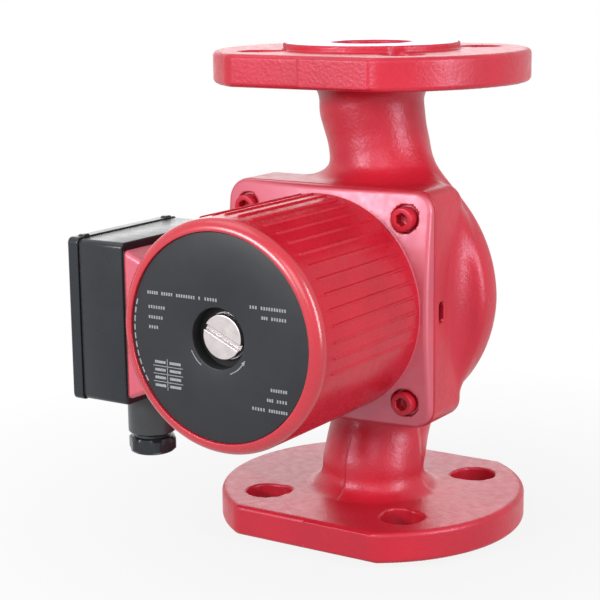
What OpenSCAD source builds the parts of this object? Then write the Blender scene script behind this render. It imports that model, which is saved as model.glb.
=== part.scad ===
// In-line circulator pump: a cast housing with two pipe flanges, a wet-rotor motor and a terminal box.
// Lengths are in millimetres. The pipe axis is Z and the lower sealing face lies at z = 0.
// The motor axis is level and points to -Y, and the terminal box sits on the -X side.

/* [Pipe ports and flanges] */
// Distance between the two sealing faces
face_to_face = 220; // [210:1:240]
// Bore of each port
port_d = 34; // [30:0.5:36]
// Outer diameter of each flange
flange_d = 140; // [136:1:150]
// Width of each flange across its two flats
flange_flats = 120; // [116:1:130]
// Thickness of each flange plate
flange_t = 14; // [12:0.5:16]
// Rounding of the flange edges
flange_edge_r = 2; // [1:0.25:3]
// Diameter of the raised sealing face
raised_face_d = 78; // [70:1:80]
// Height of the raised sealing face
raised_face_h = 3; // [2:0.5:4]
// Bolt circle of the flange holes
bolt_circle_d = 100; // [98:0.5:104]
// Diameter of the flange holes
bolt_hole_d = 19; // [17:0.5:20]
// Diameter of the relief on the inner side of each flange hole
bolt_relief_d = 13; // [10:0.5:13.5]
// How far the relief is set in from the bolt circle
bolt_relief_in = 5; // [4:0.25:5.5]
// Height of the rough casting pad on the front flat of each flange
cast_pad_h = 0.5; // [0.3:0.1:1]
// Length of the casting pad
cast_pad_len = 33; // [25:1:34]

/* [Pump housing] */
// Wall of the two necks
neck_wall = 5; // [4:0.25:6]
// Fillet between a neck and its flange
neck_fillet_r = 9; // [6:0.5:10]
// Distance from the pipe axis to the joint with the motor
joint_offset = 35.5; // [34:0.5:40]
// Side of the square joint block
joint_w = 102; // [101:0.5:106]
// Corner radius of the square joint block
joint_corner_r = 8; // [5:0.5:9]
// Depth of the square joint block
block_depth = 18.5; // [17.5:0.5:19]
// Bore of the joint block
block_bore_d = 84; // [80:0.5:86]
// Outer diameter of the volute
volute_d = 123; // [122:0.5:128]
// Thickness of the volute
volute_t = 28; // [27:0.5:30]
// Rounding of the volute rim
volute_edge_r = 10; // [8:0.5:11]
// Distance of the volute mid plane in front of the pipe axis
volute_offset = 3; // [2:0.5:4]
// How far the volute centre lies above the motor axis
volute_raise = 3.5; // [2:0.5:5]
// How far the volute centre lies to the right of the motor axis
volute_shift = 1.5; // [0:0.5:3]
// Diameter of the inner volute channel
channel_d = 100; // [96:1:102]
// Width of the inner volute channel
channel_t = 15; // [14.5:0.25:16]
// Wall between the volute channel and the suction chamber
diaphragm_t = 6; // [5:0.5:7]
// Diameter of the suction chamber
chamber_d = 64; // [58:1:66]
// Depth of the suction chamber
chamber_depth = 23; // [20:0.5:26]
// Wall of the suction chamber
casting_wall = 6; // [5:0.5:8]
// Bore of the inlet passage that rises to the suction chamber
suction_d = 28; // [24:0.5:30]
// Height of the bend in the inlet neck
elbow_h = 28; // [26:0.5:30]
// Sideways shift of the outlet neck where it meets the volute
outlet_shift = 9; // [6:0.5:11]
// Length of the upright outlet neck below its flange
outlet_straight = 13; // [10:0.5:15]
// Growth of the outlet neck where it meets the volute
outlet_flare = 8; // [6:0.5:10]
// Distance of the drain slots behind the joint
drain_setback = 6.5; // [5:0.25:8]
// Width of the drain slot in each side of the joint block
drain_w = 3; // [2:0.25:4]
// Height of the drain slot
drain_h = 8; // [6:0.5:10]
// Depth of the drain slot
drain_depth = 4; // [2:0.5:5]

/* [Impeller and wear ring] */
// Outer diameter of the impeller
impeller_d = 76; // [70:1:78]
// Width of the impeller outlet
impeller_b = 9; // [7:0.5:10]
// Thickness of each impeller shroud
shroud_t = 2; // [1.5:0.25:2.5]
// Number of impeller vanes
vane_count = 6; // [5:1:7]
// Thickness of an impeller vane
vane_t = 2.4; // [1.8:0.2:3]
// Outer diameter of the impeller eye collar
eye_d = 36; // [32:0.5:38]
// Wall of the eye collar
eye_wall = 2.5; // [2:0.25:3]
// Wall of the wear ring
wear_wall = 2; // [1.5:0.25:2.5]
// Outer diameter of the lock sleeve that holds the impeller on the shaft
sleeve_d = 15; // [14:0.5:16]
// Length of the lock sleeve beyond the impeller
sleeve_tail = 3; // [2.5:0.25:4]
// Thickness and reach of the collar at the front of the lock sleeve
sleeve_collar = 1.5; // [1:0.1:2]
// Distance of the impeller behind the joint
impeller_setback = 14.5; // [13.5:0.25:15]
// Wall of the impeller hub
impeller_hub_wall = 2.5; // [2:0.25:3]
// Least gap between the impeller and the bore of the joint block
impeller_gap = 2; // [1.5:0.25:3]
// Sweep of an impeller vane from its root to its tip
vane_sweep = 75; // [65:1:80]
// Angle from the radius to the normal of a vane
vane_normal = 33; // [30:1:38]

/* [Motor] */
// Diameter of the motor barrel
motor_d = 97; // [95:0.5:98]
// Length of the motor from the joint to the front rim
motor_len = 86; // [84:0.5:96]
// Wall of the motor barrel
barrel_wall = 5.5; // [5:0.25:6]
// Thickness of the square motor plate
plate_t = 6.5; // [6:0.25:8]
// Thickness of the front wall of the motor
front_wall = 4; // [3.5:0.25:4.5]
// Number of ribs around the motor barrel
rib_count = 48; // [36:2:60]
// Height of the barrel ribs
rib_h = 0.8; // [0.5:0.1:1.2]
// How far the ribs reach below the level of the motor axis, in degrees
rib_below = 15; // [0:7.5:45]
// Width of the smooth band at the front of the barrel
front_band = 7; // [5:0.5:9]
// Width of the smooth band next to the plate
rear_band = 2; // [1:0.5:3]
// Diameter of the raised ring around the name plate
front_ring_d = 91.2; // [90:0.2:92]
// Height of the raised front ring above the barrel edge
front_ring_h = 3; // [2:0.25:4]
// Rounding of the barrel front edge
barrel_edge_r = 2.6; // [1.5:0.1:2.8]
// Spacing of the four motor screws
screw_spacing = 79.2; // [78.8:0.2:80]
// Head diameter of the motor screws
screw_head_d = 10; // [9.5:0.25:10.5]
// Head height of the motor screws
screw_head_h = 6; // [5:0.5:6.5]
// Thread diameter of the motor screws
screw_d = 6; // [5:0.5:6]
// Depth of the screw counterbores in the motor plate
counterbore_depth = 4; // [3:0.25:4.5]
// Gap round a screw head in its counterbore
counterbore_gap = 1; // [0.5:0.25:1.25]
// Length of the motor screw thread below the plate
screw_reach = 12; // [8:0.5:14]
// Width of the hex socket across its flats
socket_w = 5; // [4:0.5:5.5]
// Depth of the hex socket
socket_depth = 3; // [2:0.25:3.5]
// Diameter of the name plate
label_d = 85; // [82:0.5:85.5]
// Thickness of the name plate
label_t = 0.6; // [0.4:0.1:1]
// Depth of the name plate seat below the front ring
label_recess = 1.5; // [1.2:0.1:2]
// Opening for the vent plug
vent_opening_d = 25; // [24:0.5:26]

/* [Rotor, bearings and stator] */
// Diameter of the shaft
shaft_d = 11; // [9:0.5:12]
// Diameter of the rotor
rotor_d = 44; // [40:0.5:46]
// Wall of the rotor can
can_wall = 0.8; // [0.6:0.1:1.2]
// Outer diameter of the radial bearings
bearing_d = 22; // [20:0.5:23]
// Length of the front radial bearing
bearing_len = 8; // [6:0.5:10]
// Thickness of the bearing plate
bearing_plate_t = 1.2; // [1:0.1:1.5]
// Thickness of the housing gasket
gasket_t = 1.1; // [0.8:0.1:1.5]
// Width of the housing gasket
gasket_w = 3.4; // [3:0.2:4]
// Least step between the stator cavity and the seat of the bearing plate
seat_step = 3; // [2.5:0.25:3.5]
// Distance from the joint to the rotor core
rotor_setback = 17; // [16:0.5:18]
// Gap between the rotor core and the front bearing
rotor_end_gap = 3; // [2:0.5:4]
// How much shorter the stator core is than the rotor core at each end
core_inset = 1; // [0.5:0.25:2]
// Thickness of the thrust retainer
retainer_t = 4.5; // [4:0.25:5]
// Length of the rear radial bearing
rear_bearing_len = 17.6; // [16:0.2:18]
// Wall of the bearing hubs
hub_wall = 2; // [1.5:0.25:2.5]
// How far a bearing hub reaches past its bearing
hub_lip = 1.5; // [1:0.25:2]
// Height of the stator tooth tips
tooth_tip = 1.9; // [1.5:0.1:2.2]
// Thickness of the thrust bearing
thrust_t = 3; // [2:0.25:4]
// Number of stator slots
slot_count = 24; // [18:6:24]
// Width of a stator slot
slot_w = 2.8; // [2.2:0.2:3]
// Radial depth of a stator slot
slot_depth = 12; // [10:0.5:13]
// Length of the front winding overhang
winding_front = 12; // [9:0.5:13]
// Length of the rear winding overhang
winding_rear = 9; // [7:0.5:10]

/* [Vent plug] */
// Diameter of the vent plug head
vent_head_d = 18.4; // [17:0.2:19]
// Height of the vent plug head
vent_head_t = 4; // [3:0.25:4.5]
// Depth of the vent plug face below the name plate seat
vent_sink = 2; // [1:0.25:2.5]
// Thread diameter of the vent plug
vent_thread_d = 14; // [12:0.5:14.5]
// Thread length of the vent plug
vent_thread_len = 8; // [6:0.5:8.5]
// Free length behind the vent plug thread
vent_tip_gap = 2; // [1.5:0.25:3]
// Width of the screwdriver slot
vent_slot_w = 2.4; // [1.6:0.2:3]
// Depth of the screwdriver slot
vent_slot_depth = 1.8; // [1:0.2:2.4]
// Turn of the screwdriver slot
vent_slot_turn = -24; // [-90:1:90]
// Section diameter of the vent seal
vent_seal_d = 1.4; // [1:0.1:1.5]

/* [Terminal box] */
// Distance from the motor axis to the back of the terminal box
box_offset = 58.2; // [57:0.2:62]
// Depth of the box base
box_depth = 22.8; // [22:0.2:28]
// Length of the box along the motor
box_len = 69.5; // [67:0.5:72]
// Height of the box
box_h = 70; // [68:0.5:74]
// Distance of the box centre in front of the pipe axis
box_station = 72.2; // [71.5:0.1:73]
// How far the box centre lies below the motor axis
box_drop = 4; // [2:0.5:6]
// Wall of the box
box_wall = 2.5; // [2:0.25:3]
// Corner radius of the box
box_corner_r = 2.5; // [1.5:0.25:3]
// Depth of the cover
cover_depth = 5.7; // [5:0.1:7]
// How far the cover stands out beyond the base all round
cover_lip = 0.5; // [0.2:0.1:1]
// Thickness of the box gaskets
box_gasket_t = 0.7; // [0.5:0.1:1]
// Depth of the casting pad below the box along the motor
pad_len = 61.5; // [58:0.5:62]
// Height of the casting pad where it meets the box
pad_h = 64.4; // [60:0.4:66]
// Slope of the pad sides
pad_slope = 0.4; // [0.2:0.05:0.5]
// Diameter of the corner bosses for the cover screws
boss_d = 7.6; // [7:0.2:8]
// Distance of the cover screws from the box edges
boss_inset = 6; // [5.5:0.25:7]
// Thread diameter of the small screws
small_screw_d = 3.2; // [3:0.1:3.5]
// Head diameter of the small screws
small_head_d = 6; // [5.5:0.25:6.5]
// Head height of the small screws
small_head_h = 2; // [1.5:0.25:2.25]
// Width of the slots in the small screws
slot_cut_w = 0.9; // [0.7:0.1:1.2]
// Depth of the slots in the small screws
slot_cut_depth = 0.8; // [0.5:0.1:1.2]
// Diameter of the speed knob
knob_d = 26; // [20:0.5:32]
// Thickness of the speed knob
knob_t = 4; // [3:0.25:6]
// Diameter of the knob spindle
spindle_d = 7; // [5:0.5:8]
// How far the knob lies above the box centre
knob_up = 6; // [5.5:0.25:7]
// Side of the speed switch body
switch_w = 22; // [18:0.5:22.5]
// Gap between the switch and the cover gasket
switch_gap = 2.8; // [2:0.2:3.5]
// Depth of the knob spindle in the switch
spindle_depth = 4.5; // [3:0.25:6]
// Width of the grip bar on the knob
grip_w = 5; // [4:0.25:6]
// Height of the grip bar on the knob
grip_h = 3; // [2:0.25:4]
// Spacing of the two box screws along the pad
fix_spacing = 40; // [36:0.5:42]
// Height of the box screws above the box centre
fix_up = 12; // [10:0.5:14]
// Distance of the earth screw from the rear end of the pad
earth_inset = 8; // [6:0.25:9]
// Thread length of the box screws in the pad
fix_len = 8; // [6:0.5:8.5]
// Thread length of the cover screws below the cover
cover_screw_len = 6; // [4:0.5:8]
// Length of the terminal block
terminal_len = 36; // [34:0.5:38]
// Width of the terminal block
terminal_w = 15; // [13:0.5:16]
// Height of the terminal block
terminal_h = 14; // [12:0.5:15]
// Distance of the terminal block from the rear end of the box
terminal_inset = 12.75; // [12:0.25:13.5]
// Gap between the terminal block and the speed switch
terminal_gap = 2; // [1:0.25:3]
// Spacing of the terminals
terminal_pitch = 12; // [11:0.25:12.5]
// Diameter of the terminal screws
terminal_screw_d = 5.8; // [5:0.2:6.4]
// Height of the terminal screws
terminal_screw_h = 3.5; // [3:0.25:4]
// Diameter of the wire holes in the terminal block
wire_hole_d = 4.4; // [3.5:0.1:4.8]
// Length of the capacitor
capacitor_len = 40; // [34:0.5:44]
// Width of the capacitor
capacitor_w = 11; // [9:0.5:12]
// Height of the capacitor
capacitor_h = 15; // [12:0.5:17]
// Wall of the lead grommet
grommet_wall = 1.5; // [1.2:0.1:1.8]
// How far the lead grommet stands into the box
grommet_rise = 1.5; // [1:0.25:2]
// Length of the lead grommet in the pad
grommet_len = 9; // [7:0.5:10]
// Diameter of a stator lead
lead_d = 2.4; // [2:0.1:2.6]
// Spacing of the stator leads
lead_spacing = 3.2; // [3:0.1:3.6]
// Length of the stator leads in the box
lead_rise = 6; // [4:0.5:9]
// Length of the two lugs on top of the cover
lug_len = 7; // [5:0.5:9]
// Height of the lugs above the cover
lug_h = 1.2; // [0.8:0.1:1.6]
// Thickness of the lugs
lug_t = 3; // [2:0.25:4]
// Distance of the lugs from the ends of the box
lug_inset = 6; // [5:0.5:8]
// Diameter of the lead hole in the pad
lead_hole_d = 12; // [10.5:0.5:13]
// Distance of the lead hole in front of the box centre
lead_forward = 23; // [22:0.5:25]

/* [Cable gland] */
// Diameter of the gland collar
gland_d = 21.2; // [19:0.2:22]
// Length of the gland collar
gland_collar_h = 20; // [16:0.5:24]
// Diameter of the gland threads
gland_thread_d = 16; // [15:0.2:16.4]
// Bore of the gland seal
cable_d = 10; // [7:0.25:10.5]
// Wall of the gland seal
gland_seal_wall = 1.4; // [1:0.1:1.6]
// Width of the gland nut across its flats
gland_nut_w = 19.6; // [19:0.2:21]
// Height of the gland nut
gland_nut_h = 7.3; // [6.5:0.1:9]
// Open groove between the collar and the nut
gland_groove = 2; // [1.5:0.1:3]
// Turn of the gland nut
gland_nut_turn = 12; // [0:1:60]
// Distance of the gland in front of the box centre
gland_forward = 3.2; // [0:0.2:6]
// Step from the gland thread in to the stub through the box wall
gland_stub_step = 1.5; // [1:0.1:1.8]
// Length of the gland seal
gland_seal_len = 9.5; // [8:0.25:10]
// Thickness of the gland washer
washer_t = 1; // [0.8:0.1:1.5]
// Thickness of the lip of the gland nut
nut_lip = 1.3; // [1:0.1:2]
// Thickness of the gland locknut
locknut_t = 4.5; // [3:0.25:5]

/* [Clearances] */
// Radial clearance of turning parts
run_clear = 0.08; // [0.05:0.01:0.1]
// Radial clearance of seated parts
seat_clear = 0.1; // [0.05:0.05:0.15]
// Radial clearance of screws in their through holes
screw_clear = 0.3; // [0.2:0.05:0.4]
// Side gap of gaskets and plates in their seats
ease_gap = 0.2; // [0.1:0.05:0.3]
// Gap between stacked faces that may turn on each other
touch_gap = 0.05; // [0.02:0.01:0.1]
// Open gap beside parts that must not touch
free_gap = 0.4; // [0.3:0.1:0.6]

/* [Hidden] */
$fn = 96;

axis_z = face_to_face / 2;
neck_r = port_d / 2 + neck_wall;
flange_top = raised_face_h + flange_t;
over = 1;
chamber_round = 2;
channel_raise = 2;
screw_spare = 2;
ball_step = 0.5;
bar_step = 0.3;

// Stations along the motor axis, measured forward from the pipe axis
block_back = joint_offset - block_depth;
volute_front = volute_offset + volute_t / 2;
block_foot = min(block_back, volute_front);
channel_front = block_back - over;
channel_back = channel_front - channel_t;
chamber_front = channel_back - diaphragm_t;
chamber_back = chamber_front - chamber_depth;
plate_front = joint_offset + plate_t;
head_seat = plate_front - counterbore_depth;
rim_front = joint_offset + motor_len;
label_seat = rim_front - label_recess;
wall_back = label_seat - front_wall;
barrel_front = rim_front - front_ring_h;
ribs_front = barrel_front - front_band;
ribs_back = plate_front + rear_band;
plug_face = label_seat - vent_sink;
plug_seat = plug_face - vent_head_t;
boss_back = plug_seat - vent_thread_len - vent_tip_gap;
bearing_back = boss_back - bearing_len;
plate_face_station = joint_offset + gasket_t;
can_flange_back = plate_face_station + bearing_plate_t;
seat_depth = gasket_t + bearing_plate_t + can_wall;
rotor_back = joint_offset + rotor_setback;
rotor_front = bearing_back - rotor_end_gap;
thrust_back = rotor_back - retainer_t - thrust_t;
rear_bearing_front = thrust_back - free_gap;
rear_bearing_back = rear_bearing_front - rear_bearing_len;
core_back = rotor_back + core_inset;
core_front = rotor_front - core_inset;

// Impeller stations and the bore it runs in
impeller_back = joint_offset - impeller_setback;
impeller_mid = impeller_back - shroud_t;
impeller_front = impeller_mid - impeller_b;
eye_front = impeller_front - shroud_t;
sleeve_back = impeller_back + sleeve_tail;
sleeve_front = impeller_front - free_gap;
wear_in_r = eye_d / 2 + run_clear;

// Radii of the motor parts
barrel_r = motor_d / 2;
band_r = barrel_r - rib_h;
cavity_r = barrel_r - barrel_wall;
bore_r = max(block_bore_d / 2, impeller_d / 2 + impeller_gap);
seat_r = max(bore_r + gasket_w + 2 * ease_gap, cavity_r + seat_step);
seated_r = seat_r - ease_gap;
can_in_r = rotor_d / 2 + free_gap;
can_out_r = can_in_r + can_wall;
core_in_r = can_out_r + free_gap;
slot_in_r = core_in_r + tooth_tip;
winding_in_r = slot_in_r + tooth_tip / 4;
winding_out_r = winding_in_r + slot_depth + tooth_tip;
bearing_hole_r = bearing_d / 2 + seat_clear;
hub_r = bearing_hole_r + hub_wall;
boss_r = vent_opening_d / 2 - ease_gap;
plug_bore_r = vent_thread_d / 2 + run_clear;
seal_ring_r = vent_thread_d / 2 + seat_clear + vent_seal_d / 2;
seal_pocket_r = seal_ring_r + vent_seal_d / 2 + seat_clear;

// Terminal box values
box_z = axis_z - box_drop;
pad_face = box_offset - box_gasket_t;
pad_front = box_station + box_len / 2 - free_gap;
pad_bury = 2;
pad_shift = pad_front - pad_len / 2 - box_station;
cover_back = box_depth + box_gasket_t;
cover_front = cover_back + cover_depth;
cover_head_seat = cover_front - small_head_h - screw_clear;
switch_front = box_depth - switch_gap;
knob_back = cover_front + free_gap;
screw_x = box_len / 2 - boss_inset;
screw_y = box_h / 2 - boss_inset;
fix_least = switch_w / 2 + small_head_d / 2 + free_gap;
fix_rear = min(pad_shift - fix_spacing / 2, -fix_least);
fix_front = max(pad_shift + fix_spacing / 2, fix_least);
earth_x = pad_shift - pad_len / 2 + earth_inset;
terminal_x = terminal_inset - box_len / 2;
terminal_y = knob_up - switch_w / 2 - terminal_gap - terminal_w;
terminal_count = 3;
terminal_seat = box_wall + 0.6 * terminal_h;
capacitor_y = box_h / 2 - box_wall - free_gap - capacitor_w / 2;
inner_corner_r = 1;
grip_inset = 2;
pointer_w = 1.2;
grommet_r = lead_hole_d / 2 - seat_clear;
gasket_inset = 0.6;

// Cable gland values, measured down from the underside of the box
gland_thread_r = gland_thread_d / 2;
stub_r = gland_thread_r - gland_stub_step;
locknut_half = box_depth / 2 - box_wall - free_gap;
nut_top = gland_collar_h + gland_groove;
nut_bottom = nut_top + gland_nut_h;
nut_floor = nut_bottom - nut_lip;
washer_top = nut_floor - touch_gap - washer_t;
gland_end = washer_top - touch_gap;
seal_top = gland_end - gland_seal_len;
nut_corner_r = gland_nut_w / 2 / cos(30);

red = [0.78, 0.13, 0.18];
black = [0.16, 0.17, 0.19];
steel = [0.72, 0.73, 0.75];
copper = [0.72, 0.42, 0.22];
rubber = [0.1, 0.1, 0.1];
pale = [0.86, 0.84, 0.78];
brass = [0.78, 0.66, 0.38];

// Places its children on the motor axis: local z runs forward from the pipe axis and local y is up.
module on_motor() {
    translate([0, 0, axis_z]) rotate([90, 0, 0]) children();
}

// Places its children on the box: local x runs forward, local y is up and local z points away from the motor.
module on_box() {
    translate([-box_offset, -box_station, box_z]) rotate([90, 0, -90]) children();
}

// Places its children on the cable gland: local z runs down from the underside of the box.
module on_gland() {
    translate([-box_offset - box_depth / 2, -box_station - gland_forward, box_z - box_h / 2])
        rotate([180, 0, 0]) children();
}

// Solid round bar between two stations.
module bar(r, from, to) {
    translate([0, 0, from]) cylinder(r = r, h = to - from);
}

// Ring between two stations.
module ring(outer_r, inner_r, from, to) {
    difference() {
        bar(outer_r, from, to);
        bar(inner_r, from - over, to + over);
    }
}

// Half section of a disc with both rims rounded.
module rounded_half(r, t, edge) {
    square([r - edge, t]);
    translate([0, edge]) square([r, t - 2 * edge]);
    translate([r - edge, edge]) circle(edge);
    translate([r - edge, t - edge]) circle(edge);
}

module rounded_disc(r, t, edge) {
    rotate_extrude() intersection() {
        rounded_half(r, t, edge);
        square([r + over, t]);
    }
}

// Rectangle with round corners, centred.
module rounded_square(w, h, r) {
    square([w - 2 * r, h], center = true);
    square([w, h - 2 * r], center = true);
    for (x = [-1, 1], y = [-1, 1])
        translate([x * (w / 2 - r), y * (h / 2 - r)]) circle(r);
}

// The four motor screw places.
module at_motor_screws() {
    for (x = [-1, 1], y = [-1, 1])
        translate([x * screw_spacing / 2, y * screw_spacing / 2, 0]) children();
}

// The four cover screw places.
module at_cover_screws() {
    for (x = [-1, 1], y = [-1, 1])
        translate([x * screw_x, y * screw_y, 0]) children();
}

// The two box screws on the pad.
module at_box_screws() {
    for (x = [fix_rear, fix_front]) translate([x, fix_up, 0]) children();
}

// All screw places on the pad: the box screws and the earth screw.
module at_pad_screws() {
    at_box_screws() children();
    translate([earth_x, 0, 0]) children();
}

// The terminals, side by side in the terminal block.
module at_terminals() {
    first = (terminal_len - (terminal_count - 1) * terminal_pitch) / 2;
    for (i = [0:terminal_count - 1])
        translate([terminal_x + first + i * terminal_pitch, terminal_y + terminal_w / 2, 0]) children();
}

// Lower flange with its raised face at z = 0 and the fillet into the neck.
module flange() {
    intersection() {
        translate([0, 0, raised_face_h]) rounded_disc(flange_d / 2, flange_t, flange_edge_r);
        translate([0, 0, flange_top / 2]) cube([2 * flange_d, flange_flats, 2 * flange_top], center = true);
    }
    cylinder(d = raised_face_d, h = raised_face_h + over);
    translate([0, -flange_flats / 2 - cast_pad_h, raised_face_h + flange_edge_r / 2])
        cube([cast_pad_len, cast_pad_h + over, flange_t - flange_edge_r]);
    translate([0, 0, flange_top]) rotate_extrude() difference() {
        translate([neck_r - over, -over]) square([neck_fillet_r + over, neck_fillet_r + over]);
        translate([neck_r + neck_fillet_r, neck_fillet_r]) circle(neck_fillet_r);
    }
}

// The four bolt holes of the lower flange, each with a small relief toward the port.
module flange_holes() {
    for (a = [45:90:315]) rotate([0, 0, a]) {
        translate([bolt_circle_d / 2, 0, -over]) cylinder(d = bolt_hole_d, h = flange_top + 2 * over);
        translate([bolt_circle_d / 2 - bolt_relief_in, 0, -over])
            cylinder(d = bolt_relief_d, h = flange_top + 2 * over);
    }
}

// Copies its children to the upper flange as well.
module both_ends() {
    children();
    translate([0, 0, face_to_face]) mirror([0, 0, 1]) children();
}

// Bar from the bend of the inlet neck up to the foot of the suction chamber, with a ball at the top.
module inlet_rise(r, top_r) {
    foot_y = -chamber_back - suction_d / 4;
    foot_drop = 4;
    buried = 2;
    foot_z = axis_z - chamber_d / 2 - foot_drop - elbow_h;
    lean = atan2(foot_y, foot_z);
    rise = sqrt(foot_y * foot_y + foot_z * foot_z);
    translate([0, 0, elbow_h]) {
        rotate([-lean, 0, 0]) translate([0, 0, -buried]) cylinder(r = r, h = rise + buried);
        translate([0, foot_y, foot_z]) sphere(top_r);
    }
}

// Outlet neck: upright under the flange, then leaning to the right and flaring into the volute.
// Its bars differ a little in radius, so that no two round faces coincide.
module outlet_neck() {
    bend_z = face_to_face - flange_top - outlet_straight;
    foot_z = axis_z + impeller_d / 2 + impeller_gap;
    lean = atan2(outlet_shift, bend_z - foot_z);
    reach = sqrt(pow(outlet_shift, 2) + pow(bend_z - foot_z, 2));
    flare_len = 20;
    flare_lean = 4;
    flare_w = volute_t - 6;
    buried = 22;
    translate([0, 0, bend_z]) {
        sphere(neck_r - ball_step);
        cylinder(r = neck_r, h = face_to_face - flange_top - bend_z + over);
        rotate([0, 180 - lean, 0]) cylinder(r = neck_r - bar_step, h = reach + buried);
    }
    intersection() {
        translate([0, 0, bend_z]) rotate([0, 180 - lean - flare_lean, 0]) translate([0, 0, reach - flare_len])
            cylinder(r1 = neck_r - 2 * bar_step, r2 = neck_r + outlet_flare, h = flare_len);
        on_motor() translate([0, 0, volute_offset]) cube([flange_d, face_to_face, flare_w], center = true);
    }
}

module pump_housing() color(red) difference() {
    union() {
        both_ends() flange();
        translate([0, 0, flange_top - over]) cylinder(r = neck_r, h = elbow_h - flange_top + over);
        translate([0, 0, elbow_h]) sphere(neck_r - ball_step);
        inlet_rise(neck_r - bar_step, neck_r - bar_step / 3);
        outlet_neck();
        on_motor() {
            translate([volute_shift, volute_raise, volute_front - volute_t])
                rounded_disc(volute_d / 2, volute_t, volute_edge_r);
            translate([0, 0, chamber_back - casting_wall])
                rounded_disc(chamber_d / 2 + casting_wall, chamber_depth + casting_wall + diaphragm_t,
                    casting_wall + chamber_round);
            translate([0, 0, block_foot]) linear_extrude(joint_offset - block_foot)
                rounded_square(joint_w, joint_w, joint_corner_r);
        }
    }
    both_ends() flange_holes();
    translate([0, 0, -over]) cylinder(d = port_d, h = elbow_h + over);
    translate([0, 0, elbow_h]) sphere(port_d / 2 - ball_step);
    inlet_rise(suction_d / 2, suction_d / 2 + ball_step);
    outlet_bore_len = face_to_face - axis_z - channel_d / 2;
    translate([0, 0, face_to_face - outlet_bore_len]) cylinder(d = port_d, h = outlet_bore_len + over);
    on_motor() {
        bar(bore_r, channel_front - over, joint_offset + over);
        translate([volute_shift, volute_raise + channel_raise, 0])
            bar(channel_d / 2, channel_back, channel_front);
        bar(wear_in_r + wear_wall + seat_clear, chamber_front - over, channel_back + over);
        bar(chamber_d / 2, chamber_back, chamber_front);
        at_motor_screws()
            bar(screw_d / 2 + seat_clear, joint_offset - screw_reach - screw_spare, joint_offset + over);
        for (side = [-1, 1])
            translate([side * joint_w / 2, 0, joint_offset - drain_setback])
                cube([2 * drain_depth, drain_h, drain_w], center = true);
    }
}

module wear_ring() color(steel) on_motor()
    ring(wear_in_r + wear_wall, wear_in_r, chamber_front + free_gap, channel_back - free_gap);

module housing_gasket() color(rubber) on_motor()
    ring(seated_r, bore_r + ease_gap, joint_offset, plate_face_station);

// One backward-curved vane as a closed outline between the hub and the rim.
function vane_point(t, side) =
    let (root = eye_d / 2 - eye_wall - vane_t, tip = impeller_d / 2 - vane_t / 3,
        r = root + t * (tip - root), a = -vane_sweep * t)
    r * [cos(a), sin(a)] + side * vane_t / 2 * [cos(a + vane_normal), sin(a + vane_normal)];

module vane() {
    steps = 10;
    outer = [for (i = [0:steps]) vane_point(i / steps, 1)];
    inner = [for (i = [steps:-1:0]) vane_point(i / steps, -1)];
    polygon(concat(outer, inner));
}

module impeller() color(steel) on_motor() {
    sleeve_hole = sleeve_d / 2 + seat_clear;
    ring(impeller_d / 2, sleeve_hole, impeller_mid, impeller_back);
    ring(sleeve_hole + impeller_hub_wall, sleeve_hole, impeller_front, impeller_back + shroud_t);
    ring(impeller_d / 2, eye_d / 2 - eye_wall, eye_front, impeller_front);
    ring(eye_d / 2, eye_d / 2 - eye_wall, chamber_front + 1, eye_front + over);
    translate([0, 0, impeller_front - ease_gap]) linear_extrude(impeller_b + 2 * ease_gap)
        for (i = [0:vane_count - 1]) rotate(i * 360 / vane_count) vane();
}

module lock_sleeve() color(steel) on_motor() {
    ring(sleeve_d / 2, shaft_d / 2 + seat_clear, sleeve_front, sleeve_back);
    ring(sleeve_d / 2 + sleeve_collar, shaft_d / 2 + seat_clear, sleeve_front - sleeve_collar,
        impeller_front - touch_gap);
}

module shaft() color(pale) on_motor()
    bar(shaft_d / 2, sleeve_front - 2 * sleeve_collar, boss_back - free_gap);

module bearing_plate() color(steel) on_motor() {
    ring(hub_r, bearing_hole_r, rear_bearing_back - hub_lip, rear_bearing_front - hub_lip);
    ring(seated_r, hub_r - hub_wall / 4, plate_face_station, can_flange_back);
}

module rear_bearing() color(pale) on_motor()
    ring(bearing_d / 2, shaft_d / 2 + run_clear, rear_bearing_back, rear_bearing_front);

module thrust_bearing() color(rubber) on_motor()
    ring(bearing_d / 2 - hub_wall / 2, shaft_d / 2 + seat_clear, thrust_back, thrust_back + thrust_t);

module thrust_retainer() color(rubber) on_motor()
    ring(bearing_d / 2 + hub_wall / 2, shaft_d / 2 + seat_clear, thrust_back + thrust_t, rotor_back);

// Thin can with an out-turned flange at the joint and a nose that holds the front bearing and the vent plug.
module rotor_can() color(steel) on_motor() difference() {
    union() {
        bar(seated_r, can_flange_back, can_flange_back + can_wall);
        bar(can_out_r, can_flange_back, bearing_back + can_wall);
        bar(hub_r, bearing_back, boss_back + over);
        bar(boss_r, boss_back, plug_seat);
    }
    bar(can_in_r, can_flange_back - over, bearing_back);
    bar(bearing_hole_r, bearing_back - over, boss_back);
    bar(plug_bore_r, boss_back - over, plug_seat + over);
    bar(seal_pocket_r, plug_seat - vent_seal_d - 2 * seat_clear, plug_seat + over);
}

module rotor_core() color(steel) on_motor()
    ring(rotor_d / 2, shaft_d / 2 + seat_clear, rotor_back, rotor_front);

module front_bearing() color(pale) on_motor()
    ring(bearing_d / 2, shaft_d / 2 + run_clear, bearing_back + touch_gap, boss_back - touch_gap);

// Outlines of the stator slots, made narrower by a margin on every side.
module slot_outlines(margin) {
    for (i = [0:slot_count - 1]) rotate(i * 360 / slot_count)
        translate([slot_in_r + margin, -slot_w / 2 + margin])
            square([slot_depth - 2 * margin, slot_w - 2 * margin]);
}

module stator_core() color(steel) on_motor() translate([0, 0, core_back])
    linear_extrude(core_front - core_back) difference() {
        circle(cavity_r - seat_clear);
        circle(core_in_r);
        slot_outlines(0);
    }

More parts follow.
